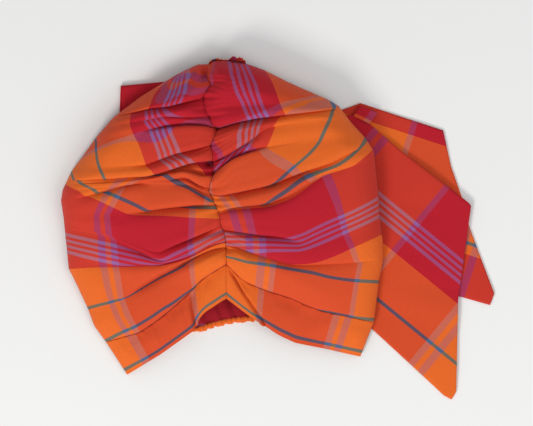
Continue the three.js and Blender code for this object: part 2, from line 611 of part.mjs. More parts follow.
// A tube of oval section along a path, gathered by waves along its length
function gatheredRoll(path, steps, width, height, wave, gathers) {
  const sides = 8;
  const rings = evenSteps(steps).map((share) => {
    const here = path(share);
    const before = path(Math.max(0, share - 0.01));
    const along = path(Math.min(1, share + 0.01)).sub(before).setZ(0).normalize();
    const across = new THREE.Vector3(-along.y, along.x, 0);
    const swell = wave * Math.sin(2 * Math.PI * gathers * share);
    return Array.from({ length: sides }, (_, k) => {
      const angle = (2 * Math.PI * (k + 0.5)) / sides;
      const lift = 1 + Math.sin(angle) / Math.sin(Math.PI * (0.5 - 1 / sides));
      return here.clone()
        .addScaledVector(across, (width / 2) * Math.cos(angle) + 0.4 * swell)
        .setZ(here.z + (height / 2 + 0.3 * swell) * lift);
    });
  });
  const vertices = rings.flat();
  const index = [];
  for (let i = 0; i < steps; i += 1) {
    for (let k = 0; k < sides; k += 1) {
      const [a, b] = [i * sides + k, i * sides + ((k + 1) % sides)];
      index.push(a, b, b + sides, a, b + sides, a + sides);
    }
  }
  for (const [ring, flip] of [[0, false], [steps, true]]) {
    for (let k = 1; k < sides - 1; k += 1) {
      const face = [ring * sides, ring * sides + k + 1, ring * sides + k];
      index.push(...(flip ? face.toReversed() : face));
    }
  }
  return facingOut(vertices, index);
}

function napeCasing() {
  const path = (share) => {
    const next = Math.max(1, BACK_COLUMNS.findIndex((column) => column >= share));
    const [from, to] = [BACK_COLUMNS[next - 1], BACK_COLUMNS[next]];
    const plan = napePoint(from, 0).lerp(napePoint(to, 0), (share - from) / (to - from));
    return new THREE.Vector3(plan.x, plan.y, DECK * underTies(plan.x, plan.y));
  };
  return gatheredRoll(path, 4 * CASING_GATHERS, CASING_HEIGHT, CASING_THICKNESS, CASING_WAVE,
    CASING_GATHERS);
}

// The end of the gathered seam stands up at the crown as a small pleated frill
function crownGather() {
  const foot = DECK + BACK_WALL;
  const face = (away) => evenSteps(6 * GATHER_PLEATS).map((share) => evenSteps(3).map((up) => {
    const plan = planPoint(RIGHT, 0, GATHER_REACH * share);
    const pleat = (1 - Math.cos(2 * Math.PI * GATHER_PLEATS * share)) / 2;
    const lean = GATHER_FLARE * up * (0.3 + 0.7 * pleat);
    const height = GATHER_HEIGHT * (0.6 + 0.4 * Math.sin(Math.PI * share));
    return new THREE.Vector3(plan.x, plan.y + 1.5 * GAP + lean + away, foot + height * up);
  }));
  return closedSheet(face(FRONT_WALL), face(0));
}

// Materials
const cloth = (color, roughness) => new THREE.MeshStandardMaterial({ color, roughness, metalness: 0 });
const RED = cloth("#bc2430", 0.85);
const ORANGE = cloth("#dc6430", 0.85);
const DEEP_RED = cloth("#a81c28", 0.88);

const turban = new THREE.Group();
const pieces = [
  ["front_left", frontHalf(LEFT), RED],
  ["front_right", frontHalf(RIGHT), RED],
  ["brow_band_left", browBand(LEFT), ORANGE],
  ["brow_band_right", browBand(RIGHT), ORANGE],
  ["back_panel", backPanel(), DEEP_RED],
  ["nape_casing", napeCasing(), ORANGE],
  ["crown_gather", crownGather(), RED],
  ["tie_left", tieLeft(), RED],
  ["tie_right", tieRight(), ORANGE],
];
for (const [name, geometry, material] of pieces) {
  const mesh = new THREE.Mesh(geometry, material);
  mesh.name = name;
  turban.add(mesh);
}

// The origin is the middle of the underside
const box = new THREE.Box3().setFromObject(turban);
const centre = box.getCenter(new THREE.Vector3());
turban.position.set(-centre.x, -centre.y, -box.min.z);

export default turban;
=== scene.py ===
# %% [markdown]
# # A plaid hair turban, laid flat
#
# A hair turban is a cap of thin cotton that is drawn up along a seam in the middle of its front, and
# two long ties are sewn to its back. Here it lies on its back, with the gathered seam up and both
# ties spread out to the right.
#
# Cloth like this could be thrown down by a simulation, but then every fold would fall somewhere else.
# The folds of a gathered cap are sewn in and always lie the same, so here they are drawn: each crease
# is a line, and the cloth between two creases is worked out from them. Each cell below makes one part
# of the turban, or one tool for it, and prints what it made.

import bpy
import numpy as np
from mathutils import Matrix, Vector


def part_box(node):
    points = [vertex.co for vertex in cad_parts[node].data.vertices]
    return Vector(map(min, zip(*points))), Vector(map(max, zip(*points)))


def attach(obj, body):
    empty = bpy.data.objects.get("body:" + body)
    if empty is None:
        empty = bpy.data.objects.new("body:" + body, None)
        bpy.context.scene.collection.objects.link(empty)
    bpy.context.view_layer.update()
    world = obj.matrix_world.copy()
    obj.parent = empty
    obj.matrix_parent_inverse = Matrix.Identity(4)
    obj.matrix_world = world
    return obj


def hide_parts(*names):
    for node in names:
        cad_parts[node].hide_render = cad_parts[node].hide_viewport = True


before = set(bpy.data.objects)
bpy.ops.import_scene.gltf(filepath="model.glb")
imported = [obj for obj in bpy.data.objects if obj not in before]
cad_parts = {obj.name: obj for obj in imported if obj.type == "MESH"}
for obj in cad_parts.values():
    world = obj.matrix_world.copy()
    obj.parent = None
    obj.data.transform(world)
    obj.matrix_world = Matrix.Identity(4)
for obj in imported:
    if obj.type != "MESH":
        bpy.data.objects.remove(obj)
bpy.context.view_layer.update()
print("CAD nodes:", ", ".join(sorted(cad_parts)))

# %% [markdown]
# ## From the photograph to the frame
#
# All lines below are read off a photograph taken from straight above, in its pixels, because lines
# are easiest to trace there. The cap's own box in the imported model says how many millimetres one
# pixel stands for, so the traced lines land on the model without any fitting by hand.

# %% Photograph pixels as places
MM = 0.001
CAP_LEFT_PX, CAP_RIGHT_PX = 60.0, 383.4
HEM_PX = 375.4
CAP_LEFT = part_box("front_left")[0].x / MM
CAP_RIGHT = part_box("front_right")[1].x / MM
HEM_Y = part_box("brow_band_left")[0].y / MM
PX = (CAP_RIGHT - CAP_LEFT) / (CAP_RIGHT_PX - CAP_LEFT_PX)


def place(pixels):
    """Photograph pixels as plan places in millimetres."""
    pixels = np.asarray(pixels, float)
    x = CAP_LEFT + (pixels[..., 0] - CAP_LEFT_PX) * PX
    y = HEM_Y + (HEM_PX - pixels[..., 1]) * PX
    return np.stack([x, y], -1)


def pixels_of(places):
    """Plan places in millimetres as photograph pixels."""
    x = CAP_LEFT_PX + (places[..., 0] - CAP_LEFT) / PX
    y = HEM_PX - (places[..., 1] - HEM_Y) / PX
    return np.stack([x, y], -1)


print(f"one pixel is {PX:.3f} mm")

# %% [markdown]
# ## Small tools for curves and grids
#
# A fold is a path, and the cloth is a grid of points between paths. Blender's curve objects could
# hold the paths, but numpy arrays are easier to mix, measure and bend, and a whole grid is worked out
# in one step. These few helpers are all that the later cells need.

# %% Blending and paths


def blend(a, b, share):
    return a + (b - a) * share


def ease(x, low, high):
    """0 below low and 1 above high, with a soft start and end."""
    share = np.clip((x - low) / (high - low), 0, 1)
    return share * share * (3 - 2 * share)


def along(path, shares):
    """Points at these shares of a path's length."""
    path = np.asarray(path, float)
    steps = np.hypot(*np.diff(path, axis=0).T)
    length = np.concatenate([[0], np.cumsum(steps)])
    shares = np.asarray(shares) * length[-1]
    return np.stack([np.interp(shares, length, path[:, k]) for k in (0, 1)], -1)


def smoothed(path, count=81, reach=4):
    """A path with its corners rounded, and its ends kept."""
    points = along(path, np.linspace(0, 1, count))
    weights = np.hanning(2 * reach + 3)[1:-1]
    weights /= weights.sum()
    ends = [np.repeat(points[:1], reach, 0), points, np.repeat(points[-1:], reach, 0)]
    padded = np.concatenate(ends)
    soft = np.stack([np.convolve(padded[:, k], weights, "valid") for k in (0, 1)], -1)
    soft[0], soft[-1] = points[0], points[-1]
    return soft


print("a soft step:", ease(np.linspace(0, 1, 5), 0, 1).round(2))

# %% Distances, insides and noise


def distance_to(path, places):
    """How far each place is from the nearest point of a path."""
    nearest = np.full(places.shape[:-1], np.inf)
    for start, end in zip(path[:-1], path[1:]):
        step = end - start
        offset = places - start
        share = np.clip((offset @ step) / max(step @ step, 1e-9), 0, 1)
        gap = offset - share[..., None] * step
        nearest = np.minimum(nearest, np.hypot(gap[..., 0], gap[..., 1]))
    return nearest


def inside(path, places):
    """Whether each place is inside a closed path, by counting the edges to its left."""
    x, y = places[..., 0], places[..., 1]
    found = np.zeros(x.shape, bool)
    for a, b in zip(path, np.roll(path, 1, 0)):
        crosses = (a[1] > y) != (b[1] > y)
        slope = (b[0] - a[0]) / (b[1] - a[1] if b[1] != a[1] else 1e-9)
        found ^= crosses & (x < a[0] + (y - a[1]) * slope)
    return found


def soft_noise(x, y, seed):
    """Smooth noise from -1 to 1, with a pitch of one unit."""
    cells = 64
    lattice = np.random.default_rng(seed).uniform(-1, 1, (cells, cells))
    left, low = np.floor(x).astype(int), np.floor(y).astype(int)
    fx, fy = ease(x - left, 0, 1), ease(y - low, 0, 1)

    def corner(dx, dy):
        return lattice[(left + dx) % cells, (low + dy) % cells]

    return blend(blend(corner(0, 0), corner(1, 0), fx), blend(corner(0, 1), corner(1, 1), fx), fy)


square = np.array([(0, 0), (4, 0), (4, 4), (0, 4)])
print("the middle of a square is inside it:", inside(square, np.array([[2.0, 2.0]]))[0])

# %% [markdown]
# ## The seam and the outline of the cap
#
# The ruched seam runs down the middle from the crown to the brow band, and it zigzags, because the
# cloth bunches up on it. The side fold is where the front turns under to the back. The hem is the
# lower edge of the brow band. Each is one path from the crown down.

# %% The seam, the side folds and the hems
SEAM = [(209, 63.5), (206, 77), (210.8, 84.4), (204.6, 94), (203, 98), (205.3, 110), (212, 124),
        (217.5, 129), (213, 140), (210.5, 146), (213, 155), (212, 161), (214, 172), (210.3, 184),
        (208.8, 190.5), (211.8, 197.7), (215.4, 204.8), (218.5, 212.4), (221, 226), (224, 232),
        (225.5, 239), (226, 248), (226.2, 264.3)]
LEFT_RIM = [(209, 63.5), (194.9, 63.9), (175.1, 74.7), (139.9, 96.4), (113, 116.8), (95.9, 136.3),
            (82, 155.8), (70.7, 170.8), (61.6, 189.9), (60, 200.5), (62.6, 217.7), (67.8, 268.8),
            (74.2, 281.6), (86.8, 308.4), (93.3, 326.2), (105, 342.2), (126.6, 375.4)]
RIGHT_RIM = [(209, 60.0), (229.8, 60.3), (246.6, 62.9), (263.7, 69.3), (290.6, 82.7), (329.4, 99.6),
             (339.1, 105.7), (351.1, 121.6), (365.6, 137.3), (374.3, 150.7), (378.9, 195.4),
             (380.2, 219.6), (383.1, 240.1), (383.4, 260.8), (379.5, 280.3), (374.3, 322.4),
             (360.8, 357.2)]
LEFT_HEM = [(226.2, 298.5), (220.2, 302.2), (211.6, 308), (205.3, 312), (200.1, 317.7), (195.9, 324.5),
            (194.5, 330.4), (160, 355), (126.6, 375.4)]
RIGHT_HEM = [(226.2, 298.5), (230, 301.4), (253.9, 319.8), (262.5, 324.7), (278.8, 335.5), (295, 343.1),
             (327.6, 349.6), (360.8, 357.2)]
SEAM_TOP, SEAM_FOOT = SEAM[0][1], SEAM[-1][1]
print(f"the seam is {SEAM_FOOT - SEAM_TOP:.0f} pixels long, traced in {len(SEAM)} points")

# %% [markdown]
# ## The folds of the front
#
# Each fold starts at the gathered seam and runs out to the side fold, from the crown down to the brow
# band. Displacing a smooth cap with noise would give some folds, but not these ones, so every fold
# has its own line. `deep` is how deep the crease is, at even steps from the seam to the side: 0 is
# smooth cloth. `rise` is the height of the cloth at the seam and at the side, as a share of the
# crown's. `lean` says which side of the crease lies over the other: the one below it, or with -1 the
# one above.

# %% The folds of the left half
LEFT_FOLDS = [
    dict(name="crown edge", deep=(0, 0, 0), rise=(0.85, 0.85),
         path=[(209, 63.5), (197.8, 63.9), (186.8, 68.6), (175.1, 74.7)]),
    dict(name="crown pleat", deep=(0.02, 0, 0), rise=(0.9, 0.85),
         path=[(206, 77), (195, 81), (175, 87.5), (155, 92.5), (139.9, 96.4)]),
    dict(name="first", deep=(0.9, 0.9, 0.8, 0.7, 0.5, 0.2), rise=(1, 0.85),
         path=[(203, 98), (182, 103.5), (168, 107), (151, 108.7), (133.2, 112.7), (113, 116.8)]),
    dict(name="short", deep=(0.6, 0.1, 0), rise=(1, 0.85),
         path=[(205.8, 117), (190, 118), (164.8, 116.7), (140, 121), (103.2, 128)]),
    dict(name="second", deep=(0.9, 0.8, 0.6, 0, 0, 0), rise=(1, 0.82), lean=-1,
         path=[(217.5, 129.3), (205, 126), (187.8, 125.3), (168.2, 127), (147.6, 130.5), (118, 137),
               (91.5, 142.4)]),
    dict(name="third", deep=(0.8, 0.8, 0.6, 0.1, 0, 0), rise=(1, 0.8),
         path=[(210.8, 145.4), (198, 148.9), (174, 154.6), (145.3, 165.5), (110, 167), (74, 166.3)]),
    dict(name="fourth", deep=(1, 1, 1, 0.9, 0.8, 0.6, 0.5, 0.5, 0.4, 0.1, 0), rise=(0.98, 0.78),
         path=[(212, 160.9), (204.5, 161.7), (194.5, 162.7), (186.2, 165), (177.9, 167.6), (165.5, 172),
               (154.7, 175), (144.8, 177.4), (132.3, 177.6), (119.9, 178.4), (107.4, 179.4),
               (66.5, 180.5)]),
    dict(name="pocket", deep=(1, 1, 0.6, 0, 0, 0, 0, 0, 0, 0, 0), rise=(0.96, 0.76), lean=-1,
         path=[(213.6, 175.5), (203, 176), (192, 172), (183, 169.8), (170, 173.5), (155, 178), (130, 181),
               (105, 183.4), (64.4, 184)]),
    dict(name="small", deep=(0.8, 0.9, 0.6, 0, 0, 0, 0, 0, 0, 0, 0), rise=(0.94, 0.75),
         path=[(209.5, 188.5), (203, 187.5), (195, 183.5), (186, 177.5), (170, 180), (150, 182),
               (116, 187), (61.5, 192.8)]),
    dict(name="side", deep=(0.7, 0.6, 0.2, 0, 0, 0.4, 0.6, 0.6, 0.3, 0, 0), rise=(0.92, 0.74),
         path=[(212.4, 198.7), (202.8, 193), (194.5, 187.8), (187, 184.5), (165, 185), (150, 184),
               (134.8, 182.3), (122.4, 185.8), (111.6, 189.4), (95, 193.8), (60.4, 203)]),
    dict(name="lavender", deep=(1, 0.9, 0.8, 0.7, 0.6, 0.3, 0, 0, 0, 0, 0), rise=(0.9, 0.7),
         path=[(215.6, 204.6), (194.5, 205.4), (177.9, 207.1), (161.3, 209), (144.8, 211.7),
               (127.3, 213.6), (95, 216), (62.8, 219)]),
    dict(name="brow high", deep=(0.9, 0.9, 0.8, 0.6, 0.2, 0, 0, 0, 0, 0, 0), rise=(0.82, 0.6),
         path=[(221, 225.8), (206.9, 232), (198.8, 235.6), (187.9, 240.2), (177.1, 244.5), (166.3, 249.4),
               (159, 253.5), (140, 248), (112, 235), (66, 224)]),
    dict(name="flap", deep=(0, 0, 0, 0.05, 0.3, 0.3, 0.2, 0, 0, 0, 0), rise=(0.78, 0.56),
         path=[(224.6, 238.4), (209.6, 243.4), (196.6, 250.5), (177.1, 258), (163, 261.8), (158, 260.8),
               (150, 257.3), (139, 251.7), (127, 246), (112, 238.5), (90, 233), (65, 229)]),
    dict(name="brow mid", deep=(0.8, 0.8, 0.7, 0.6, 0.4, 0.3, 0.25, 0.2, 0.15, 0.1, 0), rise=(0.76, 0.52),
         path=[(225.4, 241.5), (215, 243.9), (209.6, 245.9), (196.6, 253.4), (187.9, 257.2), (177.1, 261),
               (162.5, 264.8), (157, 265.2), (140, 265.7), (120, 266.1), (93.5, 266.1), (67.7, 268.2)]),
    dict(name="brow low", deep=(0.8, 0.8, 0.8, 0.7, 0.6, 0.6, 0.4, 0.1, 0, 0, 0), rise=(0.72, 0.42),
         path=[(226, 248.5), (217.8, 248.6), (209.6, 250.8), (198.8, 256), (182.5, 263.9), (171.7, 269.4),
               (160.8, 274.8), (150, 281.2), (137, 288.8), (128, 295), (108, 304.5), (86.3, 311)]),
    dict(name="band seam", deep=(0.3, 0.35, 0.15), rise=(0.66, 0.32),
         path=[(226.2, 264.3), (212, 273), (200, 281), (192.5, 290), (172.4, 308.4), (158, 320),
               (139, 333), (105, 342.2)]),
]
print(len(LEFT_FOLDS), "folds, the deepest", max(max(fold["deep"]) for fold in LEFT_FOLDS))

# %% The folds of the right half
RIGHT_FOLDS = [
    dict(name="crown edge", deep=(0, 0, 0), rise=(0.85, 0.85),
         path=[(209, 63.5), (213.5, 59.9), (228.2, 60.3), (245, 62.6), (263.7, 69.3)]),
    dict(name="crown pleat", deep=(0.02, 0, 0), rise=(0.95, 0.85),
         path=[(210.6, 84.8), (226, 80.5), (244.3, 83.3), (283.1, 88.1), (310, 91.3)]),
    dict(name="soft", deep=(0.02, 0, 0), rise=(1, 0.85),
         path=[(205, 107), (228, 106), (250.8, 104.1), (296.1, 102.5), (331.4, 100.9)]),
    dict(name="first", deep=(1, 0.8, 0.4), rise=(1, 0.85),
         path=[(217.5, 128.9), (236.3, 123), (257.3, 118.8), (285.4, 115.2), (305, 113), (341.5, 108.9)]),
    dict(name="second", deep=(1, 0.9, 0.2, 0, 0, 0), rise=(1, 0.82),
         path=[(212.3, 162.3), (222.2, 158), (250.3, 141.2), (258.7, 134.2), (266, 128.6), (290, 123.5),
               (350, 120)]),
    dict(name="third", deep=(0.9, 0.8, 0.1, 0, 0, 0), rise=(0.98, 0.8), lean=-1,
         path=[(213.7, 173.5), (233.5, 158.3), (253.1, 151), (268.5, 146.8), (305, 141), (364.4, 136)]),
    dict(name="fourth", deep=(0.8, 0.8, 0.8, 0.8, 0.3, 0), rise=(0.95, 0.78),
         path=[(210.5, 194.6), (219.5, 196.1), (236.3, 193.1), (268.5, 186.1), (302.7, 172.4),
               (330.6, 163.9), (352, 152), (369, 142.5)]),
    dict(name="fifth", deep=(0.8, 0.6, 0.5, 0.3, 0.1, 0), rise=(0.9, 0.75),
         path=[(218.5, 212), (232.8, 207.9), (266.4, 204.5), (290.6, 195.4), (324.5, 173.6),
               (351.2, 166.5), (375, 157.5)]),
    dict(name="brow high", deep=(0.8, 0.8, 0.7, 0.6, 0.3, 0, 0, 0, 0, 0, 0), rise=(0.82, 0.66),
         path=[(222.5, 229.5), (233.3, 231.4), (244.3, 233.1), (259, 235.3), (273.7, 236.4), (284.7, 238),
               (292, 239.4), (299.4, 241.2), (340, 234), (381, 226)]),
    dict(name="brow low", deep=(0.8, 0.7, 0.5, 0.4, 0.4, 0.3, 0.25, 0.2, 0.15, 0.1, 0), rise=(0.74, 0.54),
         path=[(226.1, 246.5), (232, 246.2), (239.2, 247.9), (251.7, 253.3), (266.3, 257.8), (281, 262.6),
               (292, 264.8), (306, 265), (330, 264), (349, 263), (383.4, 259.5)]),
    dict(name="band seam", deep=(0.3, 0.35, 0.1), rise=(0.66, 0.38),
         path=[(226.2, 264.3), (243, 281), (257.1, 287.3), (273.2, 292.9), (290, 298), (305, 305),
               (323, 311.7), (345, 316), (374.3, 322.4)]),
]
print(len(RIGHT_FOLDS), "folds, the deepest", max(max(fold["deep"]) for fold in RIGHT_FOLDS))

# %% [markdown]
# ## A grid that follows the folds
#
# A square grid would cut across the creases and blur them. Here the rows of the grid run along the
# folds, so a crease falls on an edge of the mesh and stays sharp. Rows are closer together beside a
# crease, and columns are closer together where the cloth curls over at the side.

# %% Rows and columns
FRONT_ROWS = 235
FRONT_COLUMNS = 200
CREASE_SPREAD = 0.012      # how far beside a crease the rows are packed, as a share of the seam
CREASE_ROWS = 2.2          # and how much closer together they are there


def seam_share(y):
    return (y - SEAM_TOP) / (SEAM_FOOT - SEAM_TOP)


def out_steps(count):
    """Shares of the way out, closer together where the cloth curls over at the side."""
    share = np.linspace(0, 1, count)
    return np.interp(share, [0, 0.78, 1], [0, 0.9, 1])


def row_steps(folds, count):
    """Shares of the seam, with one row on each fold and more rows beside it."""
    marks = np.array([seam_share(fold["path"][0][1]) for fold in folds])
    fine = np.linspace(0, 1, 4001)
    density = 1 + sum(CREASE_ROWS * np.exp(-(((fine - mark) / CREASE_SPREAD) ** 2)) for mark in marks)
    total = np.concatenate([[0], np.cumsum((density[1:] + density[:-1]) / 2)])
    rows = np.interp(np.linspace(0, total[-1], count), total, fine)
    for mark in marks:
        rows[np.abs(rows - mark).argmin()] = mark
    return rows, marks


def strip_of(half, rows):
    """Which pair of neighbouring folds a row lies between, and how far down it is from one to the other."""
    marks = half["marks"]
    strip = np.clip(np.searchsorted(marks, rows, "left") - 1, 0, len(marks) - 2)
    return strip, (rows - marks[strip]) / (marks[strip + 1] - marks[strip])


print("the last steps out:", out_steps(FRONT_COLUMNS)[-3:].round(4))

# %% The plan of each half
LEFT = dict(name="left", folds=LEFT_FOLDS, rim=LEFT_RIM, hem=LEFT_HEM, turn=-1, seed=11)
RIGHT = dict(name="right", folds=RIGHT_FOLDS, rim=RIGHT_RIM, hem=RIGHT_HEM, turn=1, seed=23)


def plan_of(half, rows, outs):
    """The plan of the front in pixels, a row of points for each share of the seam."""
    lines = np.stack([along(smoothed(fold["path"]), outs) for fold in half["folds"]])
    marks = half["marks"]
    grid = np.stack([
        np.stack([np.interp(rows, marks, lines[:, j, k]) for j in range(len(outs))], 1) for k in (0, 1)
    ], -1)
    seam_y = blend(SEAM_TOP, SEAM_FOOT, rows)
    seam = np.stack([np.interp(seam_y, [p[1] for p in SEAM], [p[0] for p in SEAM]), seam_y], -1)
    rim_y = grid[:, -1, 1]
    rim = np.array(half["rim"])
    rim_at = np.stack([np.interp(rim_y, rim[:, 1], rim[:, 0]), rim_y], -1)
    grid += (seam - grid[:, 0])[:, None] * ((1 - outs) ** 4)[None, :, None]
    grid += (rim_at - grid[:, -1])[:, None] * (outs**3)[None, :, None]
    return grid


for half in (LEFT, RIGHT):
    half["rows"], half["marks"] = row_steps(half["folds"], FRONT_ROWS)
    half["outs"] = out_steps(FRONT_COLUMNS)
    half["pixels"] = plan_of(half, half["rows"], half["outs"])
    half["plan"] = place(half["pixels"])
    print(half["name"], "half:", len(half["folds"]), "folds,", half["plan"].shape[:2], "points")

# %% [markdown]
# ## The ties in plan
#
# Each tie runs from where it is sewn, under the cap, to its slanted end. The cap lies on both, so its
# lower layers drape over them and down to the table. A cloth simulation would find that drape, and so
# does a simple rule: the cloth is one deck higher over a tie, and comes down over a short run beside
# it.

# %% Edges and ends of the two tails
REAR_UPPER = [(120.2, 85.3), (163.1, 81.2), (215.2, 79.2), (263.7, 82.4), (305.8, 97.7), (341.4, 109.8),
              (360.9, 102.6), (400, 115.7), (444, 130)]
REAR_LOWER = [(121.4, 241.3), (260, 246), (330, 254), (400, 277), (461.2, 297.1), (491, 305.5)]
REAR_END = [(444, 130), (451.8, 165.8), (463.2, 198.3), (469.9, 225.5), (478.6, 249.6), (495.5, 294),
            (491, 305.5)]
FRONT_UPPER = [(292, 116.8), (354.9, 114.9), (369.6, 123.2), (400, 149.3), (470, 203), (472, 206)]
FRONT_LOWER = [(292, 254), (345, 290), (372, 329), (410, 364), (445, 396.5), (452.4, 400.4)]
FRONT_END = [(472, 206), (459, 300), (457, 393), (452.4, 400.4)]


def outline_of(upper, end, lower):
    """The closed outline of a tail in millimetres."""
    return place(list(upper) + list(end[1:-1]) + list(lower)[::-1])


REAR_OUTLINE = outline_of(REAR_UPPER, REAR_END, REAR_LOWER)
FRONT_OUTLINE = outline_of(FRONT_UPPER, FRONT_END, FRONT_LOWER)
print("the tails are traced in", len(REAR_OUTLINE), "and", len(FRONT_OUTLINE), "points")

# %% How cloth drapes over a tie
DRAPE_MARGIN = 16.0        # how far beside a tie the cloth on it stays up
DRAPE_RUN = 34.0           # and over what further run it comes down
DECK = 5.4                 # two ties lie one on the other under the cap
BACK_WALL = 1.5
GAP = 0.3                  # between two cloths


def drape_over(outline, places):
    """1 on a layer and close round it, falling to 0 on the floor beyond."""
    closed = np.concatenate([outline, outline[:1]])
    away = distance_to(closed, places)
    return np.where(inside(outline, places), 1, 1 - ease(away, DRAPE_MARGIN, DRAPE_MARGIN + DRAPE_RUN))


def under_ties(places):
    return np.maximum(drape_over(REAR_OUTLINE, places), drape_over(FRONT_OUTLINE, places))


def rim_height(places):
    """How high the lower face of the front lies at the side fold."""
    return DECK * under_ties(places) + BACK_WALL + GAP


print(f"the rim lies {rim_height(RIGHT['plan'][:, -1]).max():.1f} mm up where it crosses the ties")

# %% [markdown]
# ## The height of the front
#
# Between two creases the cloth stands up in a puff. At a crease one side overlaps the other, which
# runs in under it, and that overlap casts the thin dark line by which the eye knows gathered cloth.
# Sculpting could make this by hand. Here each point asks how far it is from the crease above and the
# one below, and adds up a puff, two slopes and a small overhang, so that one rule shapes every fold.

# %% Curling over at the side fold
EDGE_ROUNDING = 30.0


def side_fold():
    """The line all round the cap where the front turns under, from the left hem to the right one."""
    parts = []
    for half in (LEFT, RIGHT):
        below = [point for point in half["rim"] if point[1] > half["pixels"][0, -1, 1] + 1]
        parts.append(np.concatenate([half["plan"][0, ::8], half["plan"][0, -1:], place(below)]))
    return np.concatenate([parts[0][::-1], parts[1]])


SIDE_FOLD = side_fold()


def curl(places):
    """0 at the side fold and 1 where the front has stopped curling over."""
    share = np.clip(distance_to(SIDE_FOLD, places) / EDGE_ROUNDING, 0, 1)
    return np.sqrt(1 - (1 - share) ** 2)


print("the side fold has", len(SIDE_FOLD), "points")

# %% Puffs, creases and overhangs
PUFF_HEIGHT = 3.6
FULL_WIDTH = 27.0          # a strip between two creases has its full puff from this width
PUFF_POWER = 0.8           # below 1, the puff is blunt and meets its crease steeply
SOFT_PUFF = 0.35           # the share of a puff that is left where its creases have run out
CRISP_DEPTH = 0.3          # from this depth a crease is a sharp one
FOLD_DEPTH = 9.0
LIP_WIDTH = 3.6            # how far from a crease its overlapping side is back at full height
LIP_POWER = 2.0
SLOPE_WIDTH = 9.5          # and the side that runs in under it
SLOPE_POWER = 1.5
OVERHANG = 2.2
OVERHANG_AT, OVERHANG_SPREAD, OVERHANG_START = 3.0, 2.2, 1.2
RIDGE_HEIGHT, RIDGE_AT, RIDGE_SPREAD = 1.3, 6.0, 4.0
ROOMY_WIDTH = 16.0         # a narrower strip has less overhang


def at_outs(values, outs):
    """Values at even steps of the way out, read at these shares of it."""
    return np.interp(outs, np.linspace(0, 1, len(values)), values)


def fold_shape(half, rows, outs, plan):
    """Height and sideways push of the creases and puffs, in millimetres."""
    lines = place(plan_of(half, half["marks"], outs))
    above, share = strip_of(half, rows)
    across = lines[above + 1] - lines[above]
    width = np.hypot(across[..., 0], across[..., 1])
    toward = across / np.maximum(width, 1e-6)[..., None]
    depth = np.stack([at_outs(fold["deep"], outs) for fold in half["folds"]])
    lean = np.array([fold.get("lean", 1) for fold in half["folds"]])
    fullness = np.clip(width / FULL_WIDTH, 0, 1)
    crisp = np.clip(depth / CRISP_DEPTH, 0, 1)
    crisp = blend(crisp[above], crisp[above + 1], share[:, None])
    round_top = np.sin(np.pi * share)[:, None] ** 2
    peaked = (4 * share * (1 - share))[:, None] ** PUFF_POWER
    height = PUFF_HEIGHT * fullness * blend(SOFT_PUFF * round_top, peaked, crisp)
    push = np.zeros_like(across)
    sides = ((above, share[:, None] * width, -1), (above + 1, (1 - share[:, None]) * width, 1))
    for which, away, sign in sides:
        over = (lean[which] == sign)[:, None]
        reach = np.where(over, LIP_WIDTH, SLOPE_WIDTH)
        fall = np.clip(1 - away / reach, 0, 1) ** np.where(over, LIP_POWER, SLOPE_POWER)
        height -= FOLD_DEPTH * depth[which] * fall
        lip = np.exp(-(((away - OVERHANG_AT) / OVERHANG_SPREAD) ** 2))
        lip *= np.clip(away / OVERHANG_START, 0, 1)
        ridge = RIDGE_HEIGHT * depth[which] * np.exp(-(((away - RIDGE_AT) / RIDGE_SPREAD) ** 2))
        height += np.where(over, ridge, 0)
        room = np.clip(width / ROOMY_WIDTH, 0, 1)
        push += np.where(over, OVERHANG * depth[which] * lip * room, 0)[..., None] * toward * sign
    return height, push


deepest = max(max(fold["deep"]) for fold in LEFT_FOLDS + RIGHT_FOLDS)
print(f"the deepest crease goes down {deepest * FOLD_DEPTH:.1f} mm")

# %% Wrinkles at the seam
WRINKLES, FINE_WRINKLES = 38, 71          # along the whole seam
WRINKLE_HEIGHT, FINE_HEIGHT = 0.8, 0.25
WRINKLE_REACH, LONG_REACH = 26.0, 110.0   # how far from the seam they fade


def gathers(half, rows, outs, to_seam):
    """Fine wrinkles that run out from the gathered seam and fade, and long soft folds beyond them."""
    seed = half["seed"]
    r, o = np.meshgrid(rows, outs, indexing="ij")
    drift = 0.35 * soft_noise(r * 14, o * 5, seed)
    wave = np.sin(2 * np.pi * (r * WRINKLES + drift * 3))
    fine = np.sin(2 * np.pi * (r * FINE_WRINKLES + drift * 4))
    strength = 0.55 + 0.45 * soft_noise(r * 18 + 7, o * 4, seed + 1)
    near = np.exp(-to_seam / WRINKLE_REACH) * strength
    narrow, wide = soft_noise(r * 26, o * 2.6, seed + 2), soft_noise(r * 9, o * 3.5, seed + 3)
    long_fold = narrow * 0.9 + wide * 1.1
    calm = ease(to_seam, 0, 12)
    wrinkles = WRINKLE_HEIGHT * wave * near + FINE_HEIGHT * fine * near * near
    return wrinkles + long_fold * calm * np.exp(-to_seam / LONG_REACH)


print(WRINKLES, "wrinkles along the seam, and", FINE_WRINKLES, "fine ones")

# %% The valley along the seam, and its two dark pits
SEAM_VALLEY, SEAM_VALLEY_WIDTH = 10.0, 13.0
SEAM_GROOVE, SEAM_GROOVE_WIDTH = 3.0, 2.5
PITS = [dict(place=(203.0, 74.0), size=(3.2, 7.0), deep=11.0),
        dict(place=(208.0, 165.0), size=(4.5, 3.0), deep=12.0)]


def seam_valley(rows, to_seam):
    """How much lower the cloth is beside the seam, most of all at the crown."""
    wide = SEAM_VALLEY * np.exp(-((to_seam / SEAM_VALLEY_WIDTH) ** 2))
    narrow = SEAM_GROOVE * np.exp(-((to_seam / SEAM_GROOVE_WIDTH) ** 2))
    return blend(1, 0.25, rows)[:, None] * wide + narrow * blend(1, 0.5, rows)[:, None]


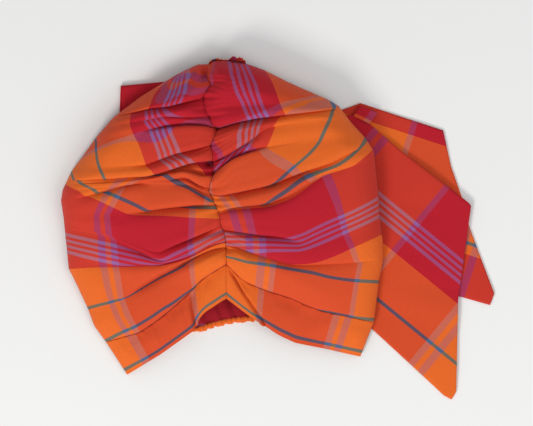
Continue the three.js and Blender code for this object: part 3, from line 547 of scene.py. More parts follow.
def pits(plan):
    """The wedge at the crown and the hole half way down, where the bunched cloth leaves a hollow."""
    depth = np.zeros(plan.shape[:-1])
    for pit in PITS:
        away = (pixels_of(plan) - pit["place"]) / pit["size"]
        depth += pit["deep"] * np.exp(-(away**2).sum(-1))
    return depth


print("the pits go down", " and ".join(str(pit["deep"]) for pit in PITS), "mm")

# %% The surface of the two halves
CROWN_RISE = 44.0
SEAM_BLEND = 14.0          # over this distance the two halves come to one height at the seam


def rise_at(half, rows, end):
    """The height at one end of the folds, 0 for the seam and 1 for the side, as a share of the crown's."""
    return np.interp(rows, half["marks"], [fold["rise"][end] for fold in half["folds"]])


def own_seam_height(half, rows):
    """How high a half would be at the seam without the other."""
    outs = np.array([0.0, 0.02])
    plan = place(plan_of(half, rows, outs))
    height, _ = fold_shape(half, rows, outs, plan)
    return height[:, 0] + CROWN_RISE * rise_at(half, rows, 0)


def front_surface(half):
    """The upper face of one half, as a grid of points in millimetres."""
    rows, outs, plan = half["rows"], half["outs"], half["plan"]
    rise = blend(rise_at(half, rows, 0)[:, None], rise_at(half, rows, 1)[:, None], outs)
    height, push = fold_shape(half, rows, outs, plan)
    to_seam = np.hypot(*np.moveaxis(plan - plan[:, :1], -1, 0))
    level = (own_seam_height(LEFT, rows) + own_seam_height(RIGHT, rows)) / 2
    height += (level - own_seam_height(half, rows))[:, None] * np.exp(-((to_seam / SEAM_BLEND) ** 2))
    height += gathers(half, rows, outs, to_seam) - seam_valley(rows, to_seam) - pits(plan)
    height += CROWN_RISE * rise
    hold = (ease(to_seam, 0, 6) * ease(1 - outs, 0, 0.06)[None, :])[..., None]
    moved = plan + push * hold
    z = rim_height(plan) + np.maximum(height, 1.0) * curl(plan)
    return np.concatenate([moved, z[..., None]], -1)


for half in (LEFT, RIGHT):
    half["surface"] = front_surface(half)
    print(half["name"], f"half stands {half['surface'][..., 2].max():.1f} mm high")

# %% [markdown]
# ## Where the stripes run
#
# The cloth is woven from two sequences of stripes, one along U and one along V, both in pixels of
# flat cloth. An unwrapped UV map would let the plaid lie anywhere. A real one shows how the cloth was
# pulled, so the tables below trace each stripe where it is seen, with its place on the flat cloth as
# the key. A few traced places for each stripe are enough.

# %% Stripes of the left half
U_REPEAT, V_REPEAT = 176.5, 182.0
LEFT_V = {
    -45: [(202, 72), (192, 91), (187, 103)],
    -36.25: [(197, 71), (186, 90), (181, 102), (164.5, 111), (166.6, 124), (170.5, 131), (175, 140),
        (178.5, 151), (185, 157), (190.5, 160.5)],
    -18.55: [(183, 69), (172, 89), (164, 105), (146.4, 112), (150.3, 127), (151.5, 134), (156, 143),
        (159.7, 157), (164.5, 162.5), (170.5, 166)],
    0: [(167.5, 80), (153, 98.5), (150.6, 106.5), (130.3, 117.5), (130.8, 125.2), (134.8, 137.3),
        (142.7, 149.4), (143.3, 159.1), (145.8, 166), (154.5, 173)],
    25: [(131, 104), (108, 128)],
    47: [(94.8, 138.5), (97.5, 160), (100, 168.3), (103.3, 174.9), (162, 174.6), (169.6, 176.9),
        (177.9, 182), (194.5, 191.5), (202.8, 196)],
    55: [(142, 181), (152, 179.5)],
    62: [(118, 182)],
    85.5: [(70, 171.2), (72.5, 176), (82.7, 184.5), (91.2, 188), (111.6, 194), (119.9, 197.3),
        (132.3, 203.1), (144.8, 209), (199, 207.2), (211, 207)],
    96: [(64.5, 182.5), (75.5, 188.8), (85.2, 195.5), (95, 198.1), (101.6, 201.5), (111.6, 206.4),
        (122.4, 211.4), (131, 214.6), (144.8, 214.5), (157, 214.8), (169.6, 215.4), (182, 216.2),
        (194.5, 217.2), (207, 217.7), (217, 218.2)],
    145.75: [(65.4, 234), (80.1, 237.7), (97.5, 241.4), (114.2, 245.4), (127, 248.3), (166.3, 257.6),
        (177.1, 252.6), (190.1, 247), (198.8, 242.3), (206.9, 238), (215, 233.7), (220, 231.8)],
    151.65: [(66, 240.1), (80.1, 243.4), (97.5, 247.4), (114.2, 250.8), (127, 253.8), (140.4, 256.8),
        (152, 259.9), (171.7, 260.4), (182.5, 256.3), (193.4, 251.4), (201.5, 247), (212.3, 241.6),
        (220.5, 237.6)],
    157.55: [(67.4, 246.4), (80.1, 249.1), (97.5, 253.1), (114.2, 256.5), (127, 259.8), (140.4, 262.5),
        (150, 263.4)],
    163.45: [(68, 252.5), (80.1, 255.1), (97.5, 259.5), (112.9, 262.5), (122, 263.6)],
    183.5: [(76, 268.6), (93, 267.6), (107, 267.6), (120, 267.6), (135, 267.2), (150, 266.8), (165, 266),
        (180, 261.8), (196.6, 255), (212, 247), (221, 244.5)],
    229: [(183, 267.4), (174.4, 270.8), (166.3, 274.2), (158.1, 278.4), (149, 283.6), (139, 290),
        (127, 296.6), (116.9, 299.8), (108, 302.8), (88, 308)],
    236: [(192, 263.6), (200, 259), (210, 254), (222, 252)],
    248: [(181, 281), (165, 291), (150, 300), (213, 262)],
    258: [(200, 277), (210, 271), (221, 264.5)],
    267.5: [(192.4, 286.9), (178.9, 297.7), (161.2, 308.6), (137.6, 323.9), (121.1, 332.1),
        (105.7, 340.8)],
}
LEFT_U = {
    -187: [(184, 68), (195, 65.5), (204, 66.5)],
    -176.5: [(178, 72.5), (190, 73.5), (201, 76)],
    -169.5: [(172, 77), (190, 79), (203, 82)],
    -163.5: [(167, 81.5), (185, 83.5), (203, 87)],
    -157: [(164, 86), (185, 88.5), (204, 92)],
    -110: [(190, 107), (130, 104)],
    -75: [(84, 157), (104.5, 147), (122.7, 141), (135, 137.3), (150.6, 134), (160, 131.5), (171, 128),
        (190, 123.5), (206, 121.5)],
    -35: [(70, 200), (66, 258), (82, 172)],
    -14: [(110, 173), (140, 171), (182, 160.5)],
    3.5: [(109.1, 194), (105.8, 196.5), (102.5, 202.3), (98.7, 211.4), (96.2, 222.2), (101.5, 237),
        (101, 255), (105.4, 270), (106.9, 287), (110.3, 301), (121.4, 324)],
    16.25: [(124, 187.5), (119, 190.7), (113.2, 199.8), (109.1, 209.8), (106.6, 222.2), (111.5, 238),
        (114.7, 255.8), (116.5, 271.4), (117, 289.3), (123.7, 302), (131.5, 325)],
    30: [(200, 167)],
    55: [(190, 178), (160, 195)],
    97: [(187.5, 272), (189, 280)],
    101.5: [(207, 201.5), (192.6, 208), (192.6, 217), (191.5, 226), (191, 237), (190, 247), (193, 256),
        (192.6, 264), (192.8, 276)],
    108: [(196.5, 262), (196.5, 274)],
    130: [(220, 222), (220, 250)],
}
for along_cloth, traced in (("U", LEFT_U), ("V", LEFT_V)):
    print(sum(map(len, traced.values())), "places traced on", len(traced), "values of", along_cloth)

# %% Stripes of the right half
RIGHT_V = {
    -45: [(222, 70), (226, 85), (233, 101), (239.5, 117), (231, 130), (230, 141)],
    -36.25: [(228.5, 65), (232, 80), (239.7, 99.5), (247, 117.5), (239, 126), (240.5, 143),
        (222.5, 160.5)],
    -18.55: [(245, 63), (250, 74), (259, 95.5), (266.3, 115.5), (259.5, 122.5), (257.5, 133),
        (246.5, 149.5)],
    0: [(264.4, 70.1), (273.7, 87.5), (280.4, 103.6), (284, 113), (279.1, 118.5), (273.7, 126.3),
        (272.4, 135.7), (268.5, 144.5)],
    5: [(222, 170), (235, 160.5), (254, 153.5), (267, 149.5)],
    47: [(331.3, 101.6), (333.5, 106.5), (330.3, 117.5), (327.3, 125), (320, 138), (315.3, 147.8),
        (293.8, 166.5), (284, 175), (270.5, 184.5)],
    38: [(250, 184), (232, 190), (220, 191.5)],
    72: [(235, 199), (250, 198)],
    85.5: [(365.5, 139), (350, 157.1), (327.3, 169.2), (307.2, 175.9), (289.8, 187.9), (268.5, 201)],
    96: [(371.5, 150.5), (355.4, 164), (336.7, 171.5), (322, 176.5), (301.9, 191.6), (284.5, 201),
        (272, 205.5), (258, 208.2), (245, 209.3), (231, 210.5), (222, 212.5)],
    120: [(345, 190), (300, 214), (255, 220)],
    139: [(240, 229.6), (262, 233), (280, 235)],
    145.75: [(229, 233.6), (237, 234), (292, 236.8), (300, 233.5), (310.3, 229), (319.9, 225.7),
        (340, 216.2), (377, 198.3)],
    151.65: [(231.9, 238.6), (240.7, 238.6), (261.9, 238.8), (278, 239.3), (303, 238.4), (317.7, 232),
        (329.4, 226.5), (353.4, 216.5), (377.5, 204.5)],
    157.55: [(239.9, 244.4), (261.9, 244.4), (288.3, 244.9), (303, 245.2), (314, 240.8), (329.4, 233.1),
        (378, 210.5)],
    163.45: [(249.5, 250.2), (261.9, 250.7), (275, 250.9), (288.3, 251), (301.5, 251), (310.3, 248.5),
        (329.4, 239.3), (341.6, 234), (378.5, 216.5)],
    182: [(295.7, 263), (310.3, 262.6), (329.4, 258.7), (341.6, 253.1), (365.2, 242.5), (380.5, 236)],
    229: [(231, 258), (244.3, 260.9), (256.8, 262.8), (266.3, 264.2), (277.3, 266.2), (288.3, 268),
        (301.5, 270.8), (314, 271.8), (321.3, 274.9), (329.4, 277.1), (353.4, 280.2), (377.4, 281.5)],
    243: [(241, 272), (231, 266)],
    250: [(262, 284), (250, 280)],
    254: [(281, 290)],
    258: [(300, 298.5)],
    267.5: [(326, 311), (344.6, 315.2), (371.5, 319.5)],
}
RIGHT_U = {
    180: [(224, 200), (231.6, 211), (236.3, 225), (249.1, 236.5), (249.1, 243), (249.3, 250),
        (261.5, 259), (261.3, 266), (258.8, 280)],
    192.5: [(245.6, 211), (249.5, 225), (262.1, 239), (262.1, 250), (272.8, 263), (273, 269),
        (271.5, 281)],
    235: [(240, 178), (300, 215), (300, 285)],
    278: [(260, 151.5), (268.4, 154.5), (293.8, 166.5), (304.5, 174), (322, 177.5), (330, 183.5),
        (338, 197.3), (340.7, 213.4), (344, 231), (354, 250.9), (357.5, 261.3), (358, 275.5),
        (354.5, 300.3), (351, 314), (222, 155)],
    312: [(374, 215), (374, 305), (300, 128)],
    356.5: [(293.8, 112), (311.2, 107), (328, 101.6)],
    369: [(222, 126.5), (247, 119.5), (268.4, 113), (284.5, 105), (310, 96.2)],
    405: [(255, 85), (288, 86)],
    454.5: [(214.5, 67), (212.5, 80)],
}
for along_cloth, traced in (("U", RIGHT_U), ("V", RIGHT_V)):
    print(sum(map(len, traced.values())), "places traced on", len(traced), "values of", along_cloth)

# %% [markdown]
# ## From the traces to a UV map
#
# The places between the traces are filled in by least squares. Each pair of neighbouring folds holds
# a strip of cloth, and each strip has its own U and V along its two edges. The traces pull on them, a
# light stiffness keeps them smooth, and where a crease has run out the strips on both sides have to
# agree. At a sharp crease they may differ, because the tuck hides a piece of cloth there, and that is
# why stripes break at a real tuck.

# %% Where a traced place lies in its strip
FIELD_NODES = 24


def hat_weights(outs):
    """How much each of the FIELD_NODES even steps of the way out counts at these shares of it."""
    return np.clip(1 - np.abs(outs[:, None] * (FIELD_NODES - 1) - np.arange(FIELD_NODES)), 0, 1)


def where_traced(half, spot):
    """The strip of a traced place, its share of the way down the strip, and its share of the way out."""
    away = np.hypot(*np.moveaxis(half["pixels"] - spot, -1, 0))
    row, column = np.unravel_index(away.argmin(), away.shape)
    strip, down = strip_of(half, half["rows"][row])
    height = half["lines"][strip + 1, column, 1] - half["lines"][strip, column, 1]
    down += (spot[1] - half["pixels"][row, column, 1]) / max(height, 1)
    return strip, np.clip(down, 0, 1), half["outs"][column]


print("each edge of a strip has", FIELD_NODES, "values")

# %% The smoothest field through the traces
HIDDEN = 22.0              # how much cloth the deepest crease hides
SMOOTH_DEPTH = 0.03        # a shallower crease hides none
CLIMB_WEIGHT = 0.12        # how strongly the flat cloth keeps its size across a strip
BEND_WEIGHT = 0.7          # how strongly a stripe stays straight along a strip
JOINED_WEIGHT, TUCKED_WEIGHT = 3.0, 0.06


def fitted_field(traced, half, climb, hidden):
    """U or V at every point of one half, as the smoothest values on the creases that meet the traces."""
    nodes, strips = np.linspace(0, 1, FIELD_NODES), len(half["marks"]) - 1
    half["lines"] = plan_of(half, half["marks"], half["outs"])
    size = strips * 2 * FIELD_NODES
    wanted, targets = [], []

    def ask(parts, target, weight):
        line = np.zeros(size)
        for (strip, side), values in parts:
            first = (strip * 2 + side) * FIELD_NODES
            line[first:first + FIELD_NODES] += values * weight
        wanted.append(line)
        targets.append(target * weight)

    for value, spots in traced.items():
        for spot in spots:
            strip, down, out = where_traced(half, np.array(spot, float))
            hat = hat_weights(np.array([out]))[0]
            ask([((strip, 0), hat * (1 - down)), ((strip, 1), hat * down)], value, 1.0)
    one = np.eye(FIELD_NODES)
    heights = np.diff(plan_of(half, half["marks"], nodes)[..., 1], axis=0)
    for strip in range(strips):
        for j in range(FIELD_NODES):
            ask([((strip, 1), one[j]), ((strip, 0), -one[j])], climb * heights[strip, j], CLIMB_WEIGHT)
            if 0 < j < FIELD_NODES - 1:
                bend = one[j - 1] - 2 * one[j] + one[j + 1]
                ask([((strip, 0), bend)], 0, BEND_WEIGHT)
                ask([((strip, 1), bend)], 0, BEND_WEIGHT)
            if strip > 0:
                deep = at_outs(half["folds"][strip]["deep"], nodes[j])
                weight = JOINED_WEIGHT if deep < SMOOTH_DEPTH else TUCKED_WEIGHT
                ask([((strip, 0), one[j]), ((strip - 1, 1), -one[j])], hidden * deep, weight)
    solved = np.linalg.lstsq(np.array(wanted), np.array(targets), rcond=None)[0]
    solved = solved.reshape(strips, 2, FIELD_NODES)
    strip, down = strip_of(half, half["rows"])
    edges = solved @ hat_weights(half["outs"]).T
    return blend(edges[strip, 0], edges[strip, 1], down[:, None])


for half, traced_u, traced_v in ((LEFT, LEFT_U, LEFT_V), (RIGHT, RIGHT_U, RIGHT_V)):
    u = fitted_field(traced_u, half, 0.0, 0.0)
    v = fitted_field(traced_v, half, 1.0, HIDDEN)
    half["uv"] = np.stack([u / U_REPEAT, v / V_REPEAT], -1)
    print(half["name"], f"half: U {u.min():.0f} to {u.max():.0f}, V {v.min():.0f} to {v.max():.0f}")

# %% [markdown]
# ## Cloth from a grid of points
#
# Every cloth here is a grid with a second grid one thickness behind it, closed all round. A Solidify
# modifier does the same, but it takes the thickness along each vertex normal, and beside a sharp
# crease those turn so quickly that the inner wall tangles. Here the normals are smoothed over their
# neighbours first. The edges of a doubled cloth are rounded by letting its thickness run out.

# %% The normals and faces of a grid


def grid_normals(grid):
    """Unit normals, smoothed twice along each axis."""
    down = np.gradient(grid, axis=0)
    out = np.gradient(grid, axis=1)
    normals = np.cross(down, out)
    normals /= np.maximum(np.linalg.norm(normals, axis=-1, keepdims=True), 1e-9)
    for axis in (0, 1, 0, 1):
        padded = np.concatenate([normals.take([0], axis), normals, normals.take([-1], axis)], axis)
        count = normals.shape[axis]
        normals = sum(padded.take(range(k, k + count), axis) for k in range(3))
    return normals / np.maximum(np.linalg.norm(normals, axis=-1, keepdims=True), 1e-9)


def sheet_faces(rows, columns):
    """Quads of the front, the back and the four edges of a sheet."""
    index = np.arange(rows * columns).reshape(rows, columns)
    back = index + rows * columns

    def quads(a, b, c, d):
        return np.stack([a, b, c, d], -1).reshape(-1, 4)

    faces = [quads(index[:-1, :-1], index[:-1, 1:], index[1:, 1:], index[1:, :-1]),
             quads(back[:-1, :-1], back[1:, :-1], back[1:, 1:], back[:-1, 1:]),
             quads(index[:-1, 0], index[1:, 0], back[1:, 0], back[:-1, 0]),
             quads(index[1:, -1], index[:-1, -1], back[:-1, -1], back[1:, -1]),
             quads(index[0, 1:], index[0, :-1], back[0, :-1], back[0, 1:]),
             quads(index[-1, :-1], index[-1, 1:], back[-1, 1:], back[-1, :-1])]
    return np.concatenate(faces)


print("a sheet of 3 by 4 points has", len(sheet_faces(3, 4)), "faces")

# %% A cloth with its thickness
ROUNDED_STEPS = 2.5        # how many steps of the grid the rounding of an edge takes


def cloth(name, grid, uv, wall, node, material, rounded=False):
    """A closed sheet on a grid in millimetres, with its wall below the grid."""
    rows, columns = grid.shape[:2]
    normals = grid_normals(grid)
    if not normals[..., 2].mean() > 0:
        normals = -normals
    thickness = np.full((rows, columns, 1), wall)
    if rounded:
        edge_rows = np.minimum(np.arange(rows), np.arange(rows)[::-1])
        edge_columns = np.minimum(np.arange(columns), np.arange(columns)[::-1])
        edge = np.minimum(edge_rows[:, None], edge_columns[None, :])
        share = np.clip((edge + 0.35) / ROUNDED_STEPS, 0, 1)
        thickness = wall * np.sqrt(1 - (1 - share) ** 2)[..., None]
    behind = grid - normals * (wall + thickness) / 2
    front = grid - normals * (wall - thickness) / 2
    points = np.concatenate([front.reshape(-1, 3), behind.reshape(-1, 3)])
    both = np.tile(uv.reshape(-1, 2), (2, 1))
    return mesh_object(name, points, sheet_faces(rows, columns), both, node, material)


def mesh_object(name, points, faces, uv, node, material):
    """A piece that stands for a CAD node, from points in millimetres."""
    mesh = bpy.data.meshes.new(name)
    mesh.from_pydata((points * MM).tolist(), [], faces.tolist())
    layer = mesh.uv_layers.new(name="UVMap")
    loops = np.empty(len(mesh.loops), np.int32)
    mesh.loops.foreach_get("vertex_index", loops)
    layer.data.foreach_set("uv", uv[loops].astype(np.float32).ravel())
    mesh.polygons.foreach_set("use_smooth", np.ones(len(mesh.polygons), bool))
    mesh.materials.append(material)
    mesh.validate()
    piece = bpy.data.objects.new(name, mesh)
    bpy.context.scene.collection.objects.link(piece)
    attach(piece, "root")
    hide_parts(node)
    return piece


# %% [markdown]
# ## The woven cloth as a material
#
# In plain weave the warp and the weft each carry one sequence of stripes. Close up they are separate
# yarns, and from a step away the eye sees their mixture: red across orange looks like a burnt orange.
# An image texture would hold the finished plaid, but two ramps hold the two sequences and mix them as
# the loom does, at any scale. Square roots of the colours are mixed and squared again, because dark
# yarn shades the light yarn beside it.
#
# The yarns are a little uneven, as in hand-woven cotton. Noise drawn out along each yarn makes some
# lighter and some darker, and the same noise gives the bump its relief. All this sits in one node
# group, which every cloth of the turban uses with its own values.

# %% Yarn colours and stripe sequences
RED = "#B01224"
ORANGE = "#DA611E"
LAVENDER = "#8A5A93"
TEAL = "#1E6070"
# Where each stripe starts on the flat cloth, in pixels
U_STRIPES = [(0, LAVENDER), (7, ORANGE), (13, LAVENDER), (19.5, RED), (98.5, LAVENDER), (104.5, ORANGE)]
V_STRIPES = [(0, ORANGE), (45.2, TEAL), (48.8, ORANGE), (83.7, TEAL), (87.3, ORANGE), (96, RED),
             (144.2, LAVENDER), (147.3, RED), (150.1, LAVENDER), (153.2, RED), (156, LAVENDER),
             (159.1, RED), (161.9, LAVENDER), (165, RED)]


def linear(color):
    """A colour as a screen shows it, in the linear values that Blender calculates with."""
    parts = [int(color[k:k + 2], 16) / 255 for k in (1, 3, 5)]
    return tuple(p / 12.92 if p <= 0.04045 else ((p + 0.055) / 1.055) ** 2.4 for p in parts) + (1.0,)


def yarn(color):
    """A yarn's colour before mixing."""
    return tuple(part**0.5 for part in linear(color)[:3]) + (1.0,)


print("red in linear values:", [round(part, 3) for part in linear(RED)[:3]])

# %% Helpers for node trees


def add_socket(group, name, kind, value=None, output=False):
    """An input of a group with its usual value, or an output."""
    socket = group.interface.new_socket(name, in_out="OUTPUT" if output else "INPUT", socket_type=kind)
    if value is not None:
        socket.default_value = value
    return socket


def add_node(tree, kind, sockets=(), **settings):
    """A node with its settings. Each of its sockets gets a value, or a wire from another node's output."""
    node = tree.nodes.new(kind)
    for name, value in settings.items():
        setattr(node, name, value)
    for socket, value in dict(sockets).items():
        if isinstance(value, bpy.types.NodeSocket):
            tree.links.new(value, node.inputs[socket])
        else:
            node.inputs[socket].default_value = value
    return node


# %% One set of yarns, and its slubs


def yarns(tree, along_cloth, stripes, repeat):
    """The colours of the warp or the weft, which repeat all over the cloth."""
    wrap = add_node(tree, "ShaderNodeMath", {0: along_cloth}, operation="FRACT")
    ramp = add_node(tree, "ShaderNodeValToRGB", {"Fac": wrap.outputs[0]})
    ramp.color_ramp.interpolation = "CONSTANT"
    elements = ramp.color_ramp.elements
    while len(elements) > 1:
        elements.remove(elements[-1])
    elements[0].position = 0
    elements[0].color = yarn(stripes[0][1])
    for start, color in stripes[1:]:
        elements.new(start / repeat).color = yarn(color)
    return ramp.outputs["Color"]


def slubs(tree, cloth_uv, stretch, seed):
    """Noise drawn out along one direction of the cloth, as thick and thin places of a yarn."""
    stretched = add_node(tree, "ShaderNodeVectorMath", {0: cloth_uv, 1: stretch}, operation="MULTIPLY")
    noise = add_node(tree, "ShaderNodeTexNoise",
                     {"Vector": stretched.outputs[0], "W": seed, "Scale": 1.0, "Detail": 1.0},
                     noise_dimensions="4D")
    return noise.outputs["Fac"]


print(len(U_STRIPES), "stripes in the warp and", len(V_STRIPES), "in the weft")

# %% The plaid as a node group
WEFT_SHARE = 0.64          # the weft shows more than the warp
SLUB_STRETCH = ((40, 900, 1), (900, 40, 1))
SLUB_SEEDS = (3.0, 8.0)
YARN_RELIEF = 0.0004       # metres


def plaid_group():
    """Colour and fine relief of the plaid, from the cloth's own UV."""
    group = bpy.data.node_groups.new("Plaid", "ShaderNodeTree")
    add_socket(group, "Cloth UV", "NodeSocketVector")
    for name, value in (("Slub", 0.16), ("Weave", 0.25), ("Painted Shade Factor", 1.0)):
        add_socket(group, name, "NodeSocketFloat", value)
    add_socket(group, "Color", "NodeSocketColor", output=True)
    add_socket(group, "Normal", "NodeSocketVector", output=True)
    start, end = add_node(group, "NodeGroupInput"), add_node(group, "NodeGroupOutput")
    cloth_uv = start.outputs["Cloth UV"]
    split = add_node(group, "ShaderNodeSeparateXYZ", {0: cloth_uv})
    warp = yarns(group, split.outputs["X"], U_STRIPES, U_REPEAT)
    weft = yarns(group, split.outputs["Y"], V_STRIPES, V_REPEAT)
    woven = add_node(group, "ShaderNodeMix", {"Factor": WEFT_SHARE, "A": warp, "B": weft}, data_type="RGBA")
    squared = add_node(group, "ShaderNodeGamma", {"Color": woven.outputs["Result"], "Gamma": 2.0})
    # The painted shade factor scales the colour: below 1 it darkens the cloth as painted shade.
    color = add_node(group, "ShaderNodeVectorMath",
                     {0: squared.outputs["Color"], "Scale": start.outputs["Painted Shade Factor"]}, operation="SCALE")
    uneven = [slubs(group, cloth_uv, *each) for each in zip(SLUB_STRETCH, SLUB_SEEDS)]
    for noise in uneven:
        shade = add_node(group, "ShaderNodeMapRange", {"Value": noise, "To Min": -1.0})
        amount = add_node(group, "ShaderNodeMath", {0: shade.outputs[0], 1: start.outputs["Slub"], 2: 1.0},
                          operation="MULTIPLY_ADD")
        color = add_node(group, "ShaderNodeVectorMath", {0: color.outputs[0], "Scale": amount.outputs[0]},
                         operation="SCALE")
    relief = add_node(group, "ShaderNodeMath", {0: uneven[0], 1: uneven[1]}, operation="ADD")
    bump = add_node(group, "ShaderNodeBump", {"Distance": YARN_RELIEF, "Strength": start.outputs["Weave"],
                                              "Height": relief.outputs[0]})
    group.links.new(color.outputs[0], end.inputs["Color"])
    group.links.new(bump.outputs[0], end.inputs["Normal"])
    return group


PLAID = plaid_group()
print("the plaid group has", len(PLAID.nodes), "nodes")

# %% The cloth of each piece
MATT_COTTON = {"Roughness": 0.82, "Specular IOR Level": 0.2, "Sheen Weight": 0.05, "Sheen Roughness": 0.5}


def plaid_cloth(name, tone=1.0):
    """A matt cotton with the plaid on it. A tone below 1 darkens it all over, as painted shade."""
    material = bpy.data.materials.new(name)
    material.use_nodes = True
    tree = material.node_tree
    shader = tree.nodes["Principled BSDF"]
    for socket, value in MATT_COTTON.items():
        shader.inputs[socket].default_value = value
    uv = add_node(tree, "ShaderNodeUVMap", uv_map="UVMap")
    plaid = add_node(tree, "ShaderNodeGroup", node_tree=PLAID)
    # A tone below 1 is painted shade that darkens the whole material.
    plaid.inputs["Painted Shade Factor"].default_value = tone
    tree.links.new(uv.outputs[0], plaid.inputs["Cloth UV"])
    tree.links.new(plaid.outputs["Color"], shader.inputs["Base Color"])
    tree.links.new(plaid.outputs["Normal"], shader.inputs["Normal"])
    return material


FRONT_CLOTH = plaid_cloth("front_cloth")
BAND_CLOTH = plaid_cloth("band_cloth")
# The back panel's cloth is darkened all over, as painted shade for the deep shadow inside the arch.
BACK_PAINTED_SHADE_CLOTH = plaid_cloth("back_cloth", tone=0.72)
CASING_CLOTH = plaid_cloth("casing_cloth")
TIE_CLOTH = plaid_cloth("tie_cloth")
print("the plaid group is placed in", PLAID.users, "materials")

# %% [markdown]
# ## The front halves
#
# Each half of the front is one layer of cotton, gathered on the middle seam and folded under at the
# side. Its shape and its stripes are ready, so the cell only turns each grid into a cloth. The two
# halves stand a hair apart along the seam, which leaves the thin dark line that a sewn seam shows.

# %% Both halves of the front
FRONT_WALL = 1.5
for half in (LEFT, RIGHT):
    name = f"front_{half['name']}"
    grid = half["surface"].copy()
    grid[:, 0, 0] += half["turn"] * GAP / 2
    cloth(f"{name}_cloth", grid, half["uv"], FRONT_WALL, name, FRONT_CLOTH)

# %% [markdown]
# ## The brow bands
#
# A doubled band finishes the brow and meets its other half in a peak. It is cut the other way of the
# cloth, so the stripes that ran down the front run along it. A plain strip would look stiff: the real
# one puckers where it is sewn to the gathered front, and it has one soft tuck on each side, which is
# a crease as on the front but slanted across the band.

# %% The shape of a band
BAND_WALL = 2.2
BAND_STEPS = 44
BAND_LENGTH_PX = 165
TUCK_WIDTH = 9.0
HEM_RISES = [0.58, 0.47, 0.34, 0.20]       # at even steps out, as shares of the crown's
PUCKER_HEIGHT, WAVE_HEIGHT, PAD_HEIGHT = 0.8, 1.4, 2.4


def band_surface(half, tuck):
    """The upper face of one band, from the seam where it is sewn on to its hem."""
    rows, outs = np.linspace(0, 1, BAND_STEPS), half["outs"]
    top = half["plan"][-1]
    hem = place(along(smoothed(half["hem"], reach=2), outs))
    run = np.hypot(*(hem - top).T)
    share = blend(GAP / run, 1, rows[:, None])
    plan = top[None] + (hem - top)[None] * share[..., None]
    seam_level = half["surface"][-1, :, 2] - rim_height(top)
    hem_rise = CROWN_RISE * np.interp(outs, [0, 0.33, 0.67, 1], HEM_RISES)
    bend = curl(plan)
    seam_rise = np.divide(seam_level, np.maximum(curl(top), 0.05))
    height = blend(seam_rise[None], hem_rise[None], rows[:, None])
    tuck_line = blend(tuck["seam"], tuck["hem"], rows)[:, None]
    away = np.abs(outs[None] - tuck_line) * BAND_LENGTH_PX * PX
    crease = FOLD_DEPTH * tuck["deep"] * np.clip(1 - away / TUCK_WIDTH, 0, 1) ** SLOPE_POWER
    crease *= ease(rows, 0, 0.2)[:, None]
    to_middle = np.hypot(*np.moveaxis(plan - plan[:, :1], -1, 0))
    crease *= ease(to_middle, 0, 8)
    r, o = np.meshgrid(rows, outs, indexing="ij")
    pucker = PUCKER_HEIGHT * soft_noise(o * 42, r * 2.2, 31) * (1 - r) * ease(r, 0, 0.05)
    soft = WAVE_HEIGHT * soft_noise(o * 7, r * 2.5, 37) * ease(r, 0, 0.3)
    height = height - crease + pucker + soft + PAD_HEIGHT * np.sin(np.pi * rows)[:, None]
    z = rim_height(plan) + np.maximum(height, 0.8) * bend
    z[0] = half["surface"][-1, :, 2] - 0.15
    return np.concatenate([plan, z[..., None]], -1)


print(f"a band is {BAND_LENGTH_PX * PX:.0f} mm long")

# %% The two brow bands
# Shares of the way out, and the place on the flat cloth there
LEFT_BAND_U = [(0.0, 135.0), (0.27, 104.5), (0.32, 98.5), (0.79, 19.5), (0.85, 13.0), (1.0, 8.0)]
RIGHT_BAND_U = [(0.0, 141.0), (0.25, 104.5), (0.29, 98.5), (0.745, 19.5), (0.785, 13.0), (0.82, 7.0),
                (0.86, 0.0), (1.0, -15.0)]
BAND_SEAM_V, BAND_HEM_V = 52.0, 91.5
# A tuck starts at one share of the seam and ends at one share of the hem
LEFT_TUCK = dict(seam=0.30, hem=0.34, deep=0.5)
RIGHT_TUCK = dict(seam=0.02, hem=0.33, deep=0.6)

for half, tuck, band_u in ((LEFT, LEFT_TUCK, LEFT_BAND_U), (RIGHT, RIGHT_TUCK, RIGHT_BAND_U)):
    name = f"brow_band_{half['name']}"
    half["band"] = band_surface(half, tuck)
    u = np.interp(half["outs"], *np.array(band_u).T)
    v = np.linspace(BAND_SEAM_V, BAND_HEM_V, BAND_STEPS)
    uv = np.stack(np.broadcast_arrays(u[None] / U_REPEAT, v[:, None] / V_REPEAT), -1)
    cloth(f"{name}_cloth", half["band"], uv, BAND_WALL, name, BAND_CLOTH)

# %% [markdown]
# ## The back panel
#
# One layer of cloth closes the back of the head. It lies under everything else, on the ties and the
# table, and it is seen only through the arch at the brow, as red cloth in deep shadow. The arch of
# the nape is one parabola, and the panel's lower rows run up to it in pleats, because the elastic
# there draws the cloth together. The panel's cloth is darkened all over, as painted shade for that
# deep shadow.

# %% The line of the nape
CAP_LENGTH = 367.0
NAPE_ARCH, CROWN_ARCH = 0.131 * CAP_LENGTH, 0.022 * CAP_LENGTH
CASING_HEIGHT = 6.0
CASING_THICKNESS = 4.0


def nape_point(share, above):
    """A place of the nape, moved up from its middle line by a distance square to that line."""
    left, right = place([LEFT_HEM[-1], RIGHT_HEM[-1]])
    share = np.asarray(share, float)
    chord = right - left
    rise = 4 * NAPE_ARCH * (1 - 2 * share)
    square = np.stack([-chord[1] - rise, np.full_like(share, chord[0] - 2 * CASING_HEIGHT)], -1)
    square /= np.linalg.norm(square, axis=-1, keepdims=True)
    plan = left + share[..., None] * chord
    plan[..., 0] += blend(CASING_HEIGHT, -CASING_HEIGHT, share)
    plan[..., 1] += 4 * NAPE_ARCH * share * (1 - share) + CASING_HEIGHT
    return plan + square * np.asarray(above)[..., None]


print(f"the arch of the nape is {NAPE_ARCH:.0f} mm deep")

# %% The panel and its pleats
BACK_COLUMNS = 150
NAPE_PLEATS = 17
PLEAT_HEIGHT, PLEAT_POWER = 3.4, 0.7
SEWN_IN = 0.8              # how far the panel runs in under the casing


